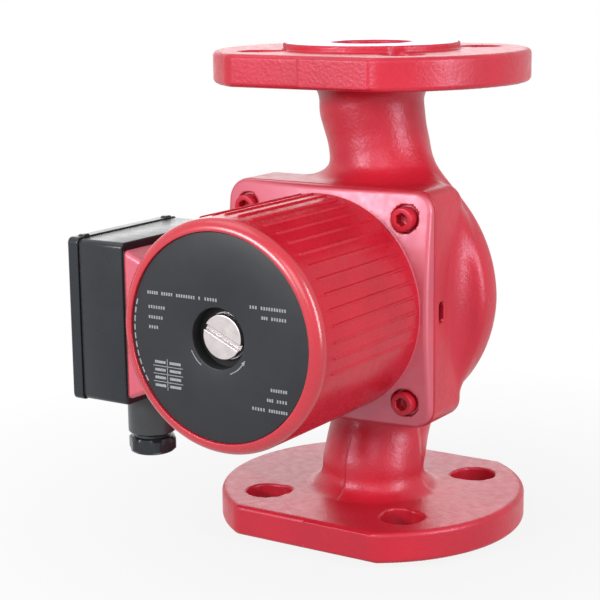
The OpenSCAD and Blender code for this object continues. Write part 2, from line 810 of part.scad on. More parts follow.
module stator_winding() color(copper) on_motor() {
    for (place = [[core_back - winding_rear, winding_rear], [core_front, winding_front]])
        translate([0, 0, place[0]]) rotate_extrude() 
            translate([winding_in_r, touch_gap])
                square([winding_out_r - winding_in_r, place[1] - 2 * touch_gap]);
    translate([0, 0, core_back - over]) linear_extrude(core_front - core_back + 2 * over)
        slot_outlines(seat_clear);
}

// Cross-section of the ribs, whose feet are sunk into the smooth barrel. The underside is left smooth.
module rib_section() {
    pitch = 360 / rib_count;
    crest = 0.26 * pitch;
    foot = 0.4 * pitch;
    sunk_r = band_r - 0.6 * rib_h;
    for (a = [-rib_below:pitch:180 + rib_below]) rotate(a)
        polygon([for (corner = [[-foot, sunk_r], [-crest, barrel_r], [crest, barrel_r], [foot, sunk_r]])
            corner[1] * [cos(corner[0]), sin(corner[0])]]);
}

// Pad that carries the terminal box: a wedge that narrows toward the motor.
module box_pad() {
    inner_x = cavity_r - pad_bury;
    inner_h = pad_h / 2 - (pad_face - inner_x) * pad_slope;
    translate([0, -box_drop, pad_front - pad_len]) linear_extrude(pad_len)
        polygon([[-inner_x, -inner_h], [-pad_face, -pad_h / 2], [-pad_face, pad_h / 2], [-inner_x, inner_h]]);
}

module stator_housing() color(red) difference() {
    on_motor() {
        translate([0, 0, joint_offset]) linear_extrude(plate_t)
            rounded_square(joint_w, joint_w, joint_corner_r);
        bar(band_r, plate_front - over, ribs_front);
        translate([0, 0, ribs_back]) linear_extrude(ribs_front - ribs_back) rib_section();
        translate([0, 0, ribs_front - 2 * barrel_edge_r])
            rounded_disc(band_r, barrel_front - ribs_front + 2 * barrel_edge_r, barrel_edge_r);
        bar(front_ring_d / 2, barrel_front - over, rim_front);
        box_pad();
    }
    on_motor() {
        bar(seat_r, joint_offset - over, joint_offset + seat_depth);
        bar(cavity_r, joint_offset, wall_back);
        bar(label_d / 2 + seat_clear, label_seat, rim_front + over);
        bar(vent_opening_d / 2, wall_back - over, label_seat + over);
        at_motor_screws() {
            bar(screw_d / 2 + screw_clear, joint_offset - over, plate_front + over);
            bar(screw_head_d / 2 + counterbore_gap, head_seat, head_seat + screw_head_h + touch_gap);
        }
    }
    on_box() {
        translate([lead_forward, 0, 0]) bar(lead_hole_d / 2, cavity_r - pad_bury - box_offset, over);
        at_pad_screws() bar(small_screw_d / 2 + seat_clear, -fix_len - over, over);
    }
}

module name_plate() color(black) on_motor()
    ring(label_d / 2, vent_opening_d / 2, label_seat, label_seat + label_t);

module vent_plug() color(steel) on_motor() difference() {
    union() {
        bar(vent_head_d / 2, plug_seat + touch_gap, plug_face);
        bar(vent_thread_d / 2, plug_seat - vent_thread_len, plug_seat + over);
    }
    translate([0, 0, plug_face]) rotate(vent_slot_turn)
        cube([vent_head_d + 2 * over, vent_slot_w, 2 * vent_slot_depth], center = true);
}

module vent_seal() color(rubber) on_motor()
    translate([0, 0, plug_seat - vent_seal_d / 2 - touch_gap]) rotate_extrude()
        translate([seal_ring_r, 0]) circle(vent_seal_d / 2);

// Socket-head screw standing on its seat, with the thread pointing to -z.
module motor_screw() difference() {
    union() {
        bar(screw_head_d / 2, 0, screw_head_h);
        bar(screw_d / 2, -(plate_t - counterbore_depth) - screw_reach, over);
    }
    translate([0, 0, screw_head_h - socket_depth])
        cylinder(r = socket_w / 2 / cos(30), h = socket_depth + over, $fn = 6);
}

module motor_screws() color(red) on_motor()
    at_motor_screws() translate([0, 0, head_seat]) motor_screw();

module pad_gasket() color(rubber) on_box() difference() {
    translate([pad_shift, 0, -box_gasket_t]) linear_extrude(box_gasket_t)
        square([pad_len - 2 * gasket_inset, pad_h - 2 * gasket_inset], center = true);
    translate([lead_forward, 0, 0]) bar(lead_hole_d / 2, -box_gasket_t - over, over);
    at_pad_screws() bar(small_screw_d / 2 + screw_clear, -box_gasket_t - over, over);
}

// Outline of the hollow of the box, with the corner bosses left standing.
module box_hollow() difference() {
    rounded_square(box_len - 2 * box_wall, box_h - 2 * box_wall, inner_corner_r);
    at_cover_screws() circle(d = boss_d);
}

module terminal_box() color(black) difference() {
    on_box() difference() {
        linear_extrude(box_depth) rounded_square(box_len, box_h, box_corner_r);
        translate([0, 0, box_wall]) linear_extrude(box_depth) box_hollow();
        at_cover_screws()
            bar(small_screw_d / 2 + seat_clear, box_depth - 2 * cover_screw_len, box_depth + over);
        translate([lead_forward, 0, 0]) bar(lead_hole_d / 2, -over, box_wall + over);
        at_pad_screws() bar(small_screw_d / 2 + screw_clear, -over, box_wall + over);
    }
    on_gland() bar(stub_r + seat_clear, -box_wall - over, over);
}

// Screwdriver slot across a head of a given diameter and height.
module screw_slot(d, h) {
    translate([0, 0, h]) cube([d + over, slot_cut_w, 2 * slot_cut_depth], center = true);
}

// Pan-head screw with its head on the floor of the box and its thread pointing to -z.
module floor_screw(reach) difference() {
    union() {
        bar(small_head_d / 2, 0, small_head_h);
        bar(small_screw_d / 2, -reach, over / 2);
    }
    screw_slot(small_head_d, small_head_h);
}

module box_screws() color(steel) on_box()
    at_box_screws() translate([0, 0, box_wall]) floor_screw(box_wall + fix_len);

module earth_screw() color(brass) on_box()
    translate([earth_x, 0, box_wall]) floor_screw(box_wall + fix_len);

module cover_gasket() color(rubber)
on_box() translate([0, 0, box_depth]) linear_extrude(box_gasket_t) difference() {
    rounded_square(box_len - 2 * gasket_inset, box_h - 2 * gasket_inset, box_corner_r - gasket_inset);
    box_hollow();
    at_cover_screws() circle(small_screw_d / 2 + screw_clear);
}

module terminal_cover() color(black) on_box() difference() {
    union() {
        translate([0, 0, cover_back]) linear_extrude(cover_depth)
            rounded_square(box_len + 2 * cover_lip, box_h + 2 * cover_lip, box_corner_r);
        for (x = [-1, 1]) translate([x * (box_len / 2 - lug_inset), box_h / 2, cover_back + lug_t / 2])
            cube([lug_len, 2 * (cover_lip + lug_h), lug_t], center = true);
    }
    translate([0, 0, cover_back - over]) linear_extrude(cover_depth - box_wall + over) box_hollow();
    at_cover_screws() {
        bar(small_screw_d / 2 + screw_clear, cover_back - over, cover_front + over);
        bar(small_head_d / 2 + screw_clear, cover_head_seat, cover_front + over);
    }
    translate([0, knob_up, 0])
        bar(spindle_d / 2 + run_clear, cover_front - box_wall - over, cover_front + over);
}

module cover_screws() color(steel) on_box() at_cover_screws()
    translate([0, 0, cover_head_seat]) floor_screw(cover_depth + cover_screw_len);

module terminal_block() color(pale) on_box() difference() {
    translate([terminal_x, terminal_y, box_wall]) cube([terminal_len, terminal_w, terminal_h]);
    at_terminals() {
        bar(terminal_screw_d / 2 + ease_gap, terminal_seat, box_wall + terminal_h + over);
        translate([0, -terminal_w / 4, box_wall + terminal_h / 3]) rotate([90, 0, 0])
            cylinder(d = wire_hole_d, h = terminal_w / 4 + over);
    }
}

module terminal_screws() color(brass)
on_box() at_terminals() translate([0, 0, terminal_seat]) difference() {
    bar(terminal_screw_d / 2, 0, terminal_screw_h);
    screw_slot(terminal_screw_d, terminal_screw_h);
}

module capacitor() color(black) on_box() translate([0, capacitor_y, box_wall])
    linear_extrude(capacitor_h) rounded_square(capacitor_len, capacitor_w, box_corner_r);

module speed_switch() color(pale) on_box() translate([0, knob_up, 0]) difference() {
    translate([0, 0, box_wall]) linear_extrude(switch_front - box_wall)
        rounded_square(switch_w, switch_w, box_corner_r);
    bar(spindle_d / 2 + run_clear, switch_front - spindle_depth - free_gap, switch_front + over);
}

module speed_knob() color(black) on_box() translate([0, knob_up, 0]) difference() {
    union() {
        bar(spindle_d / 2, switch_front - spindle_depth, knob_back + over);
        bar(knob_d / 2, knob_back, knob_back + knob_t);
        translate([-grip_w / 2, -knob_d / 2 + grip_inset, knob_back])
            cube([grip_w, knob_d - 2 * grip_inset, knob_t + grip_h]);
    }
    translate([-pointer_w / 2, knob_d / 4, knob_back + knob_t + grip_h - pointer_w / 2])
        cube([pointer_w, knob_d / 2, pointer_w]);
}

module lead_grommet() color(rubber) on_box() translate([lead_forward, 0, 0])
    ring(grommet_r, grommet_r - grommet_wall, -grommet_len, box_wall + grommet_rise);

module stator_leads() color(copper) on_box() translate([lead_forward, 0, 0])
    for (x = [-1, 1], y = [-1, 1]) translate([x * lead_spacing / 2, y * lead_spacing / 2, 0])
        bar(lead_d / 2, winding_out_r + free_gap - box_offset, box_wall + lead_rise);

module gland_body() color(black) on_gland() difference() {
    union() {
        bar(gland_d / 2, 0, gland_collar_h);
        bar(stub_r, -box_wall - locknut_t - over, over);
        bar(gland_thread_r, gland_collar_h - over, gland_end);
    }
    bar(cable_d / 2 + screw_clear, -box_wall - locknut_t - 2 * over, gland_end + over);
    bar(cable_d / 2 + gland_seal_wall + seat_clear, seal_top, gland_end + over);
}

module gland_locknut() color(black) on_gland() difference() {
    translate([0, 0, -box_wall - locknut_t])
        rotate(30) cylinder(r = locknut_half / cos(30), h = locknut_t, $fn = 6);
    bar(stub_r + seat_clear, -box_wall - locknut_t - over, over);
}

module gland_seal() color(rubber) on_gland()
    ring(cable_d / 2 + gland_seal_wall, cable_d / 2, seal_top, gland_end);

module gland_washer() color(pale) on_gland()
    ring(gland_thread_r - screw_clear, cable_d / 2 + screw_clear, washer_top, washer_top + washer_t);

module gland_nut() color(black) on_gland() difference() {
    intersection() {
        translate([0, 0, nut_top]) rotate(gland_nut_turn)
            cylinder(r = nut_corner_r, h = gland_nut_h, $fn = 6);
        bar(nut_corner_r - ball_step, nut_top, nut_bottom);
    }
    bar(gland_thread_r + run_clear, nut_top - over, nut_floor);
    bar(cable_d / 2 + 2 * screw_clear, nut_top, nut_bottom + over);
}

pump_housing();
wear_ring();
housing_gasket();
impeller();
lock_sleeve();
shaft();
bearing_plate();
rear_bearing();
thrust_bearing();
thrust_retainer();
rotor_can();
rotor_core();
front_bearing();
stator_core();
stator_winding();
stator_housing();
name_plate();
vent_plug();
vent_seal();
motor_screws();
pad_gasket();
terminal_box();
box_screws();
earth_screw();
cover_gasket();
terminal_cover();
cover_screws();
terminal_block();
terminal_screws();
capacitor();
speed_switch();
speed_knob();
lead_grommet();
stator_leads();
gland_body();
gland_locknut();
gland_seal();
gland_washer();
gland_nut();
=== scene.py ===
"""Looks of the circulator pump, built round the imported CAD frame. Shapes are worked out in millimetres."""

import math
from collections import namedtuple

import bpy
import numpy as np
from mathutils import Matrix, Vector


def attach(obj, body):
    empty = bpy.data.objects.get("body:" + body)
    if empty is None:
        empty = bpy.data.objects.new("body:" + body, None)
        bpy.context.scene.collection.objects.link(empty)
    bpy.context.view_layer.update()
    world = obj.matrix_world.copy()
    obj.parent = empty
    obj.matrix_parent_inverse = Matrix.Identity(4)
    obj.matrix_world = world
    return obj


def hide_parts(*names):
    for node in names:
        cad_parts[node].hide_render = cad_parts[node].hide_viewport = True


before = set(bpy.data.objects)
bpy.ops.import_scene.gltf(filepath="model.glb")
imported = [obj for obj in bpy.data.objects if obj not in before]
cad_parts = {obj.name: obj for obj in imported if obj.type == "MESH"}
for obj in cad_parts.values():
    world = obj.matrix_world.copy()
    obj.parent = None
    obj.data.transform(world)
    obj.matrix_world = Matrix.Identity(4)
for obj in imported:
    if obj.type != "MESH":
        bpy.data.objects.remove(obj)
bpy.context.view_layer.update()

MM = 0.001

# Main places of the pump and the motor; stations run forward from the port axis, toward -Y
PORT_GAP = 220.0
AXIS_Z = 110.0
JOINT_Y = -35.5
PLATE_Y = -42.0
PLATE_FALL = 0.2
PLATE_CROWN = 0.6
PLATE_CORNER = 9.0
HALF_SQUARE = 51.0
SQUARE_CORNER = 8.0
SCREW_PLACE = 39.6
SCREW_SEAT_R = 6.0
SCREW_SEAT_DEPTH = 4.0

# Flanges, ports and necks
FLANGE_R = 70.0
FLANGE_FLAT = 60.0
FLANGE_T = 14.0
FACE_R = 39.0
FACE_H = 3.0
PORT_R = 17.0
NECK_FILLET = 9.0
HOLE_R = 9.5
HOLE_PLACE = 50.0
RELIEF_R = 6.6
RELIEF_PLACE = 45.0
HOLE_DEPTH = 30.0
INLET_PORT_DEPTH = 28.0
OUTLET_PORT_DEPTH = 30.0
Station = namedtuple("Station", "x y z radius")
OUTLET_STATIONS = [
    Station(x=0, y=0, z=206, radius=22.4),
    Station(x=0, y=0, z=192, radius=21.8),
    Station(x=3, y=0, z=179, radius=20.2),
    Station(x=5, y=0, z=169, radius=20.6),
    Station(x=10, y=-4, z=150, radius=22.5),
]
INLET_STATIONS = [
    Station(x=0, y=0, z=12, radius=22.2),
    Station(x=0, y=0.6, z=27, radius=21.8),
    Station(x=0, y=6, z=40, radius=21.3),
    Station(x=0, y=14, z=55, radius=21.3),
    Station(x=0, y=21, z=74, radius=21),
]
NECK_BLEND = 6.0
OUTLET_BLEND = 15.0
INLET_BLEND = 12.0

# Raised step on the right half of the inlet neck
STEP_X = -1.2
STEP_WIDTH = 1.6
STEP_H = 1.8
STEP_FADE = 5.0

# Joint block and its drain slots
BLOCK_BACK = -8.5
BLOCK_FILLET = 7.0
DRAIN_Y = -29.0
DRAIN_Z = 108.8
DRAIN_HALF_WIDTH = 1.7
DRAIN_HALF_HEIGHT = 4.2
DRAIN_CORNER = 1.2
DRAIN_DEPTH = 11.0

# Motor barrel and the pad for the terminal box
BARREL_R = 48.5
BAND_R = 47.8
SHELL_R = 43.0
RIB_COUNT = 48
RIB_H = 0.7
RIB_HALF_WIDTH = 0.55
RIB_FIRST = -12.6
RIB_LAST = 189.9
RIBS_BACK = 46.0
RIBS_FRONT = 111.0
RING_FRONT = 121.5
RING_ROUND = 4.6
PAD_FACE = 57.5
PAD_HALF_HEIGHT = 32.2
PAD_SLOPE = 0.4
PAD_MIDDLE = -75.8
PAD_HALF_LENGTH = 30.8

# Name plate and vent plug
LABEL_SEAT = 120.0
LABEL_FACE = 120.6
LABEL_R = 42.5
PRINT_LOW = LABEL_FACE - 0.02
PRINT_HIGH = LABEL_FACE + 0.04
VENT_HOLE_R = 12.5
PLUG_FACE = 118.0
PLUG_SEAT = 114.0
PLUG_R = 9.2
PLUG_THREAD_R = 7.0
PLUG_END = 106.0
THREAD_PITCH = 1.5
SLOT_W = 2.4
SLOT_DEPTH = 1.8
SLOT_TURN = -24.4

# Terminal box; levels run outward from its back, toward -X
BOX_Y = -72.2
BOX_Z = 106.0
BOX_X = -58.2
BOX_HALF_LENGTH = 34.75
BOX_HALF_HEIGHT = 35.0
BOX_CORNER = 2.5
BOX_WALL = 2.5
BOX_DEPTH = 22.8
COVER_BACK = 23.5
COVER_FRONT = 29.2
COVER_LIP = 0.5
LUG_PLACE = 28.75
LUG_HALF_LENGTH = 2.2
LUG_T = 3.0
LUG_H = 0.8
COVER_SCREW_U = 28.75
COVER_SCREW_V = 29.0
COVER_SCREW_R = 3.3
COVER_SCREW_SEAT = 26.9
KNOB_UP = 6.0
KNOB_BACK = 29.6
KNOB_FRONT = 33.6
KNOB_R = 13.0
GRIP_FRONT = 36.55
GRIP_HALF_WIDTH = 2.5
SPINDLE_R = 3.5
SPINDLE_END = 15.5

# Cable gland; levels run down from the underside of the box
GLAND_X = -69.6
GLAND_Y = -75.4
GLAND_Z = 71.0
GLAND_R = 10.6
GLAND_COLLAR = 20.0
GLAND_THREAD_R = 8.0
GLAND_END = 26.9
GLAND_BORE_R = 5.3
GLAND_SEAL_R = 6.5
GLAND_SEAL_TOP = 17.4
GLAND_STUB_R = 6.5
GLAND_STUB_TOP = -5.0
NUT_TOP = 22.0
NUT_BOTTOM = 29.3
NUT_FLOOR = 28.0
NUT_HALF_WIDTH = 9.8
NUT_TURN = 12.0

# Origin and three directions of each set of axes; the third is the one that stations and levels run along
MOTOR_AXES = np.array([(0, 0, AXIS_Z), (1, 0, 0), (0, 0, 1), (0, -1, 0)], float)
BOX_AXES = np.array([(BOX_X, BOX_Y, BOX_Z), (0, -1, 0), (0, 0, 1), (-1, 0, 0)], float)
KNOB_AXES = BOX_AXES + [(0, 0, KNOB_UP), (0, 0, 0), (0, 0, 0), (0, 0, 0)]
GLAND_AXES = np.array([(GLAND_X, GLAND_Y, GLAND_Z), (1, 0, 0), (0, -1, 0), (0, 0, -1)], float)

# Light and colours
ROOM_FILL = 0.32
RED = (0.54, 0.014, 0.030)
RED_DEEP = (0.47, 0.011, 0.025)
IRON = (0.62, 0.60, 0.59)
SLATE = (0.013, 0.016, 0.021)


# Signed distances and the ways to join them

def smooth_step(t):
    """Rises from 0 to 1 with level ends as t goes from 0 to 1."""
    t = np.clip(t, 0.0, 1.0)
    return t * t * (3 - 2 * t)


def soft_join(a, b, reach):
    """Union of two distance fields with a quadratic blend that is as wide as reach."""
    h = np.maximum(reach - np.abs(a - b), 0.0) / reach
    return np.minimum(a, b) - h * h * reach / 4


def round_join(a, b, radius):
    """Union of two distance fields with a fillet of the given radius."""
    corner = np.hypot(np.maximum(radius - a, 0.0), np.maximum(radius - b, 0.0))
    return np.maximum(radius, np.minimum(a, b)) - corner


def round_meet(a, b, radius):
    """Intersection of two distance fields with an edge of the given radius."""
    return -round_join(-a, -b, radius)


def rounded_rectangle(u, v, half_u, half_v, radius):
    """Distance to a centred rectangle with round corners."""
    du = np.abs(u) - half_u + radius
    dv = np.abs(v) - half_v + radius
    outside = np.hypot(np.maximum(du, 0.0), np.maximum(dv, 0.0))
    return outside + np.minimum(np.maximum(du, dv), 0.0) - radius


def tapered_bar(x, y, z, start, end, start_r, end_r):
    """Distance to a round bar between two points whose radius changes evenly along it."""
    axis = np.subtract(end, start)
    along = (x - start[0]) * axis[0] + (y - start[1]) * axis[1] + (z - start[2]) * axis[2]
    t = np.clip(along / np.dot(axis, axis), 0.0, 1.0)
    gap = np.sqrt((x - start[0] - t * axis[0]) ** 2 + (y - start[1] - t * axis[1]) ** 2
                  + (z - start[2] - t * axis[2]) ** 2)
    return gap - start_r - t * (end_r - start_r)


def bent_neck(x, y, z, stations):
    """Distance to a chain of round bars through the stations of a neck, blended where they meet."""
    total = None
    for a, b in zip(stations, stations[1:]):
        bar = tapered_bar(x, y, z, a[:3], b[:3], a.radius, b.radius)
        total = bar if total is None else soft_join(total, bar, NECK_BLEND)
    return total


# Meshes from distance fields, for castings whose forms run into each other

def surface_net(distance, spans):
    """Quads on the zero level of a distance field sampled on a grid.

    Each grid cell that the surface crosses gets one point, the mean of its edge crossings, and each crossed
    grid edge gets one quad between the four cells around it. The points are then moved onto the zero level
    along the slope. Returns the points, the unit slopes and the quads.
    """
    xs, ys, zs = spans
    values = distance(xs[:, None, None], ys[None, :, None], zs[None, None, :])
    inside = values < 0
    cells = tuple(n - 1 for n in values.shape)
    total = np.zeros(cells + (3,))
    count = np.zeros(cells, dtype=np.int32)
    edges = []
    for axis in range(3):
        low = tuple(slice(None, -1) if k == axis else slice(None) for k in range(3))
        high = tuple(slice(1, None) if k == axis else slice(None) for k in range(3))
        where = np.argwhere(inside[low] != inside[high])
        a = values[low][tuple(where.T)]
        b = values[high][tuple(where.T)]
        crossing = where.astype(float)
        crossing[:, axis] += a / (a - b)
        others = [k for k in range(3) if k != axis]
        around = []
        for shift in ((0, 0), (1, 0), (1, 1), (0, 1)):
            cell = where.copy()
            cell[:, others] -= shift
            np.add.at(total, tuple(cell.T), crossing)
            np.add.at(count, tuple(cell.T), 1)
            around.append(cell)
        edges.append((around, inside[low][tuple(where.T)] ^ (axis == 1)))
    number = np.full(cells, -1)
    used = np.argwhere(count > 0)
    number[tuple(used.T)] = np.arange(len(used))
    mean = total[tuple(used.T)] / count[tuple(used.T)][:, None]
    places = [np.interp(mean[:, k], np.arange(len(grid)), grid) for k, grid in enumerate(spans)]
    points = np.stack(places, axis=1)
    quads = []
    for around, turned in edges:
        quad = np.stack([number[tuple(cell.T)] for cell in around], axis=1)
        quads.append(np.where(turned[:, None], quad, quad[:, ::-1]))
    points, normals = pull_to_zero(distance, points)
    return points, normals, np.concatenate(quads)


def pull_to_zero(distance, points, passes=3, step=0.02, reach=0.6, least_slope=0.2):
    """Moves points onto the zero level of a field along its slope; returns them and the unit slopes."""
    nudges = step * np.eye(3)
    for _ in range(passes):
        here = distance(*points.T)
        rises = [distance(*(points + nudge).T) - distance(*(points - nudge).T) for nudge in nudges]
        slope = np.stack(rises, axis=1) / (2 * step)
        size = np.maximum(np.linalg.norm(slope, axis=1), least_slope)[:, None]
        points = points - np.clip(here[:, None] / size, -reach, reach) * slope / size
    return points, slope / size


def span(low, high, step):
    """Evenly spaced grid stations from low to high, about one step apart."""
    return np.linspace(low, high, int(round((high - low) / step)) + 1)


# Meshes from outlines carried along an axis

def carried(u, v, level, axes):
    """Points at u, v and level along the three directions of a set of axes, as rows by columns by 3."""
    origin, first, second, third = axes
    u, v, level = np.broadcast_arrays(u, v, level)
    return origin + u[..., None] * first + v[..., None] * second + level[..., None] * third


def loft(points, ring=False):
    """Closed skin over rows of outlines, each of which runs anticlockwise seen against the third direction.

    Quads join each row to the next. A ring joins the last row to the first; any other skin gets one face on
    its first row and one on its last. Returns the points and a list of face arrays.
    """
    rows, columns = points.shape[:2]
    index = np.arange(rows * columns).reshape(rows, columns)
    here = index if ring else index[:-1]
    after = np.roll(index, -1, axis=0) if ring else index[1:]
    corners = [here, np.roll(here, -1, axis=1), np.roll(after, -1, axis=1), after]
    quads = np.stack(corners, axis=-1).reshape(-1, 4)
    caps = [] if ring else [index[:1, ::-1], index[-1:]]
    return points.reshape(-1, 3), [quads] + caps


def joined(shapes):
    """Several shapes as one."""
    points, faces, start = [], [], 0
    for shape_points, shape_faces in shapes:
        points.append(shape_points)
        faces.extend(face + start for face in shape_faces)
        start += len(shape_points)
    return np.concatenate(points), faces


def full_turn(count):
    """Angles round a full circle, without the closing one."""
    return np.linspace(0.0, 2 * math.pi, count, endpoint=False)


def turned(profile, axes, count=96, ring=True, lift=0.0):
    """Skin of a profile of (level, radius) turned about an axis; lift is added to each radius."""
    profile = np.asarray(profile, float)
    angle = full_turn(count)[None, :]
    radius = profile[:, 1:] + lift
    return loft(carried(radius * np.cos(angle), radius * np.sin(angle), profile[:, :1], axes), ring)


def arc(level, radius, size, start, end, count):
    """Profile points on an arc about (level, radius); angles run from outward, 0, to forward, 90 degrees."""
    a = np.radians(np.linspace(start, end, count))
    return np.stack([level + size * np.sin(a), radius + size * np.cos(a)], axis=1)


def rounded_outline(half_u, half_v, corner, insets, per_corner=8, least_corner=0.05):
    """Outlines of a rectangle with a quarter circle at each corner, one row for each inset of its sides."""
    insets = np.asarray(insets, float)[:, None]
    quarter = np.arange(4).repeat(per_corner)
    angle = np.radians(quarter * 90.0 + np.tile(np.linspace(0, 90, per_corner), 4))
    radius = np.maximum(corner - insets, least_corner)
    sign_u = np.array([1, -1, -1, 1])[quarter]
    sign_v = np.array([1, 1, -1, -1])[quarter]
    u = sign_u * (half_u - insets - radius) + radius * np.cos(angle)
    v = sign_v * (half_v - insets - radius) + radius * np.sin(angle)
    return u, v


def hexagon(angle, half_width):
    """Radius of a hexagon with the given half width across its flats, at each angle."""
    sector = math.pi / 3
    return half_width / np.cos((angle + sector / 2) % sector - sector / 2)


def ribbon(left, right, low, high, axes):
    """Thin slab between two lines of (u, v) points, from level low to level high."""
    left, right = np.asarray(left, float), np.asarray(right, float)
    u = np.stack([left[:, 0], right[:, 0], right[:, 0], left[:, 0]], axis=1)
    v = np.stack([left[:, 1], right[:, 1], right[:, 1], left[:, 1]], axis=1)
    return loft(carried(u, v, np.array([[low, low, high, high]]), axes))


# Objects

def add_piece(name, shape, body, material, nodes=(), normals=None, crease=35.0):
    """Makes a mesh object from points in millimetres and face arrays, and hands it to the frame."""
    points, faces = shape
    sizes = np.concatenate([np.full(len(face), face.shape[1]) for face in faces])
    corners = np.concatenate([face.ravel() for face in faces])
    mesh = bpy.data.meshes.new(name)
    mesh.vertices.add(len(points))
    mesh.vertices.foreach_set("co", (np.asarray(points) * MM).astype(np.float32).ravel())
    mesh.loops.add(len(corners))
    mesh.loops.foreach_set("vertex_index", corners.astype(np.int32))
    mesh.polygons.add(len(sizes))
    mesh.polygons.foreach_set("loop_start", (np.cumsum(sizes) - sizes).astype(np.int32))
    mesh.polygons.foreach_set("use_smooth", np.ones(len(sizes), dtype=bool))
    mesh.update(calc_edges=True)
    if normals is None:
        mesh.set_sharp_from_angle(angle=math.radians(crease))
    else:
        mesh.normals_split_custom_set_from_vertices(normals.tolist())
    piece = bpy.data.objects.new(name, mesh)
    bpy.context.collection.objects.link(piece)
    mesh.materials.append(material)
    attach(piece, body)
    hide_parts(*nodes)


def add_cast(name, distance, spans, body, material, nodes=()):
    """Makes a piece from a distance field, shaded with the field's own slopes."""
    points, normals, quads = surface_net(distance, spans)
    add_piece(name, (points, [quads]), body, material, nodes, normals)


# Shader building

class Value:
    """A socket of a node tree; arithmetic on it adds Math nodes."""

    def __init__(self, nodes, socket):
        self.nodes = nodes
        self.socket = socket

    def math(self, operation, first, second=0.0):
        """Adds a Math node."""
        return self.nodes.node("ShaderNodeMath", {"operation": operation}, {0: first, 1: second})

    def __add__(self, other):
        return self.math("ADD", self, other)

    def __radd__(self, other):
        return self.math("ADD", other, self)

    def __sub__(self, other):
        return self.math("SUBTRACT", self, other)

    def __rsub__(self, other):
        return self.math("SUBTRACT", other, self)

    def __mul__(self, other):
        return self.math("MULTIPLY", self, other)

    def __rmul__(self, other):
        return self.math("MULTIPLY", other, self)

    def root(self):
        """Square root."""
        return self.math("SQRT", self)

    def larger(self, other):
        """The larger of two values."""
        return self.math("MAXIMUM", self, other)

    def spread(self, low, high, to_low=0.0, to_high=1.0):
        """Maps low..high to to_low..to_high and holds the ends."""
        sockets = {"Value": self, "From Min": low, "From Max": high, "To Min": to_low, "To Max": to_high}
        return self.nodes.node("ShaderNodeMapRange", {}, sockets)


class Nodes:
    """Adds nodes to the tree of a material or of the world."""

    def __init__(self, owner):
        owner.use_nodes = True
        self.owner = owner
        self.tree = owner.node_tree
        self.tree.nodes.clear()

    def node(self, kind, settings, sockets, output=0):
        """Adds a node: its settings first, then the values or links of its sockets; gives one output."""
        made = self.tree.nodes.new(kind)
        for key, setting in settings.items():
            setattr(made, key, setting)
        for key, value in sockets.items():
            if isinstance(value, Value):
                self.tree.links.new(value.socket, made.inputs[key])
            else:
                made.inputs[key].default_value = value
        return Value(self, made.outputs[output]) if made.outputs else None

    def place(self):
        """Object coordinates."""
        return self.node("ShaderNodeTexCoord", {}, {}, "Object")

    def along_axes(self):
        """Object coordinates as three values."""
        return [self.node("ShaderNodeSeparateXYZ", {}, {0: self.place()}, axis) for axis in "XYZ"]

    def noise(self, scale, detail=3.0, place=None):
        """Noise over the piece; scale counts features per metre."""
        sockets = {"Vector": place or self.place(), "Scale": scale, "Detail": detail}
        return self.node("ShaderNodeTexNoise", {}, sockets, "Fac")

    def mix(self, amount, first, second):
        """Colour from first to second as amount goes from 0 to 1; the colour sockets go by their numbers."""
        first_socket, second_socket, result = 6, 7, 2
        first, second = (c if isinstance(c, Value) else (*c, 1) for c in (first, second))
        sockets = {"Factor": amount, first_socket: first, second_socket: second}
        return self.node("ShaderNodeMix", {"data_type": "RGBA"}, sockets, result)

    def bump(self, height, depth, under=None):
        """Normal of a relief of the given depth in metres, over another relief where one is given."""
        sockets = {"Height": height, "Distance": depth, "Strength": 1.0}
        if under:
            sockets["Normal"] = under
        return self.node("ShaderNodeBump", {}, sockets, "Normal")

    def seen_by(self, *rays):
        """1 for rays of the given kinds, such as the camera's, and 0 for light that falls on the object."""
        first, *others = (self.node("ShaderNodeLightPath", {}, {}, "Is %s Ray" % ray) for ray in rays)
        for other in others:
            first = first.larger(other)
        return first

    def surface(self, **sockets):
        """Ends a material with one principled surface and gives the material."""
        named = {key.replace("_", " "): value for key, value in sockets.items()}
        shaded = self.node("ShaderNodeBsdfPrincipled", {}, named, "BSDF")
        self.node("ShaderNodeOutputMaterial", {}, {"Surface": shaded})
        return self.owner


# Materials; noise scales count features per metre, and depths are in millimetres

PAINT_IOR = 1.8
PAINT_TINT = (0.9, 0.8, 1.0, 1.0)
LACQUER_IOR = 2.1
MASK_EDGE = 0.1 * MM
NOISE_REACH = (0.3, 0.7)


def shade(colour, factor):
    """A colour made darker or lighter by a factor."""
    return tuple(part * factor for part in colour)


def port_faces(x, y, z, bare_from):
    """1 on the faced rings at the pipe ends, further from the motor axis, up or down, than bare_from."""
    inset = 1.0
    inner, outer = (PORT_R + inset) * MM, (FACE_R - inset) * MM
    around = (x * x + y * y).root()
    ring = around.spread(inner, inner + MASK_EDGE) * around.spread(outer - MASK_EDGE, outer, 1.0, 0.0)
    height = z - AXIS_Z * MM
    return height.math("ABSOLUTE", height).spread(bare_from, bare_from + MASK_EDGE) * ring


def lacquer_band(y, front, back, cover):
    """Weight of a clear coat that lies from front to back along the motor axis, as full as cover."""
    return y.spread(front, front + MASK_EDGE) * y.spread(back - MASK_EDGE, back, cover, 0.0)


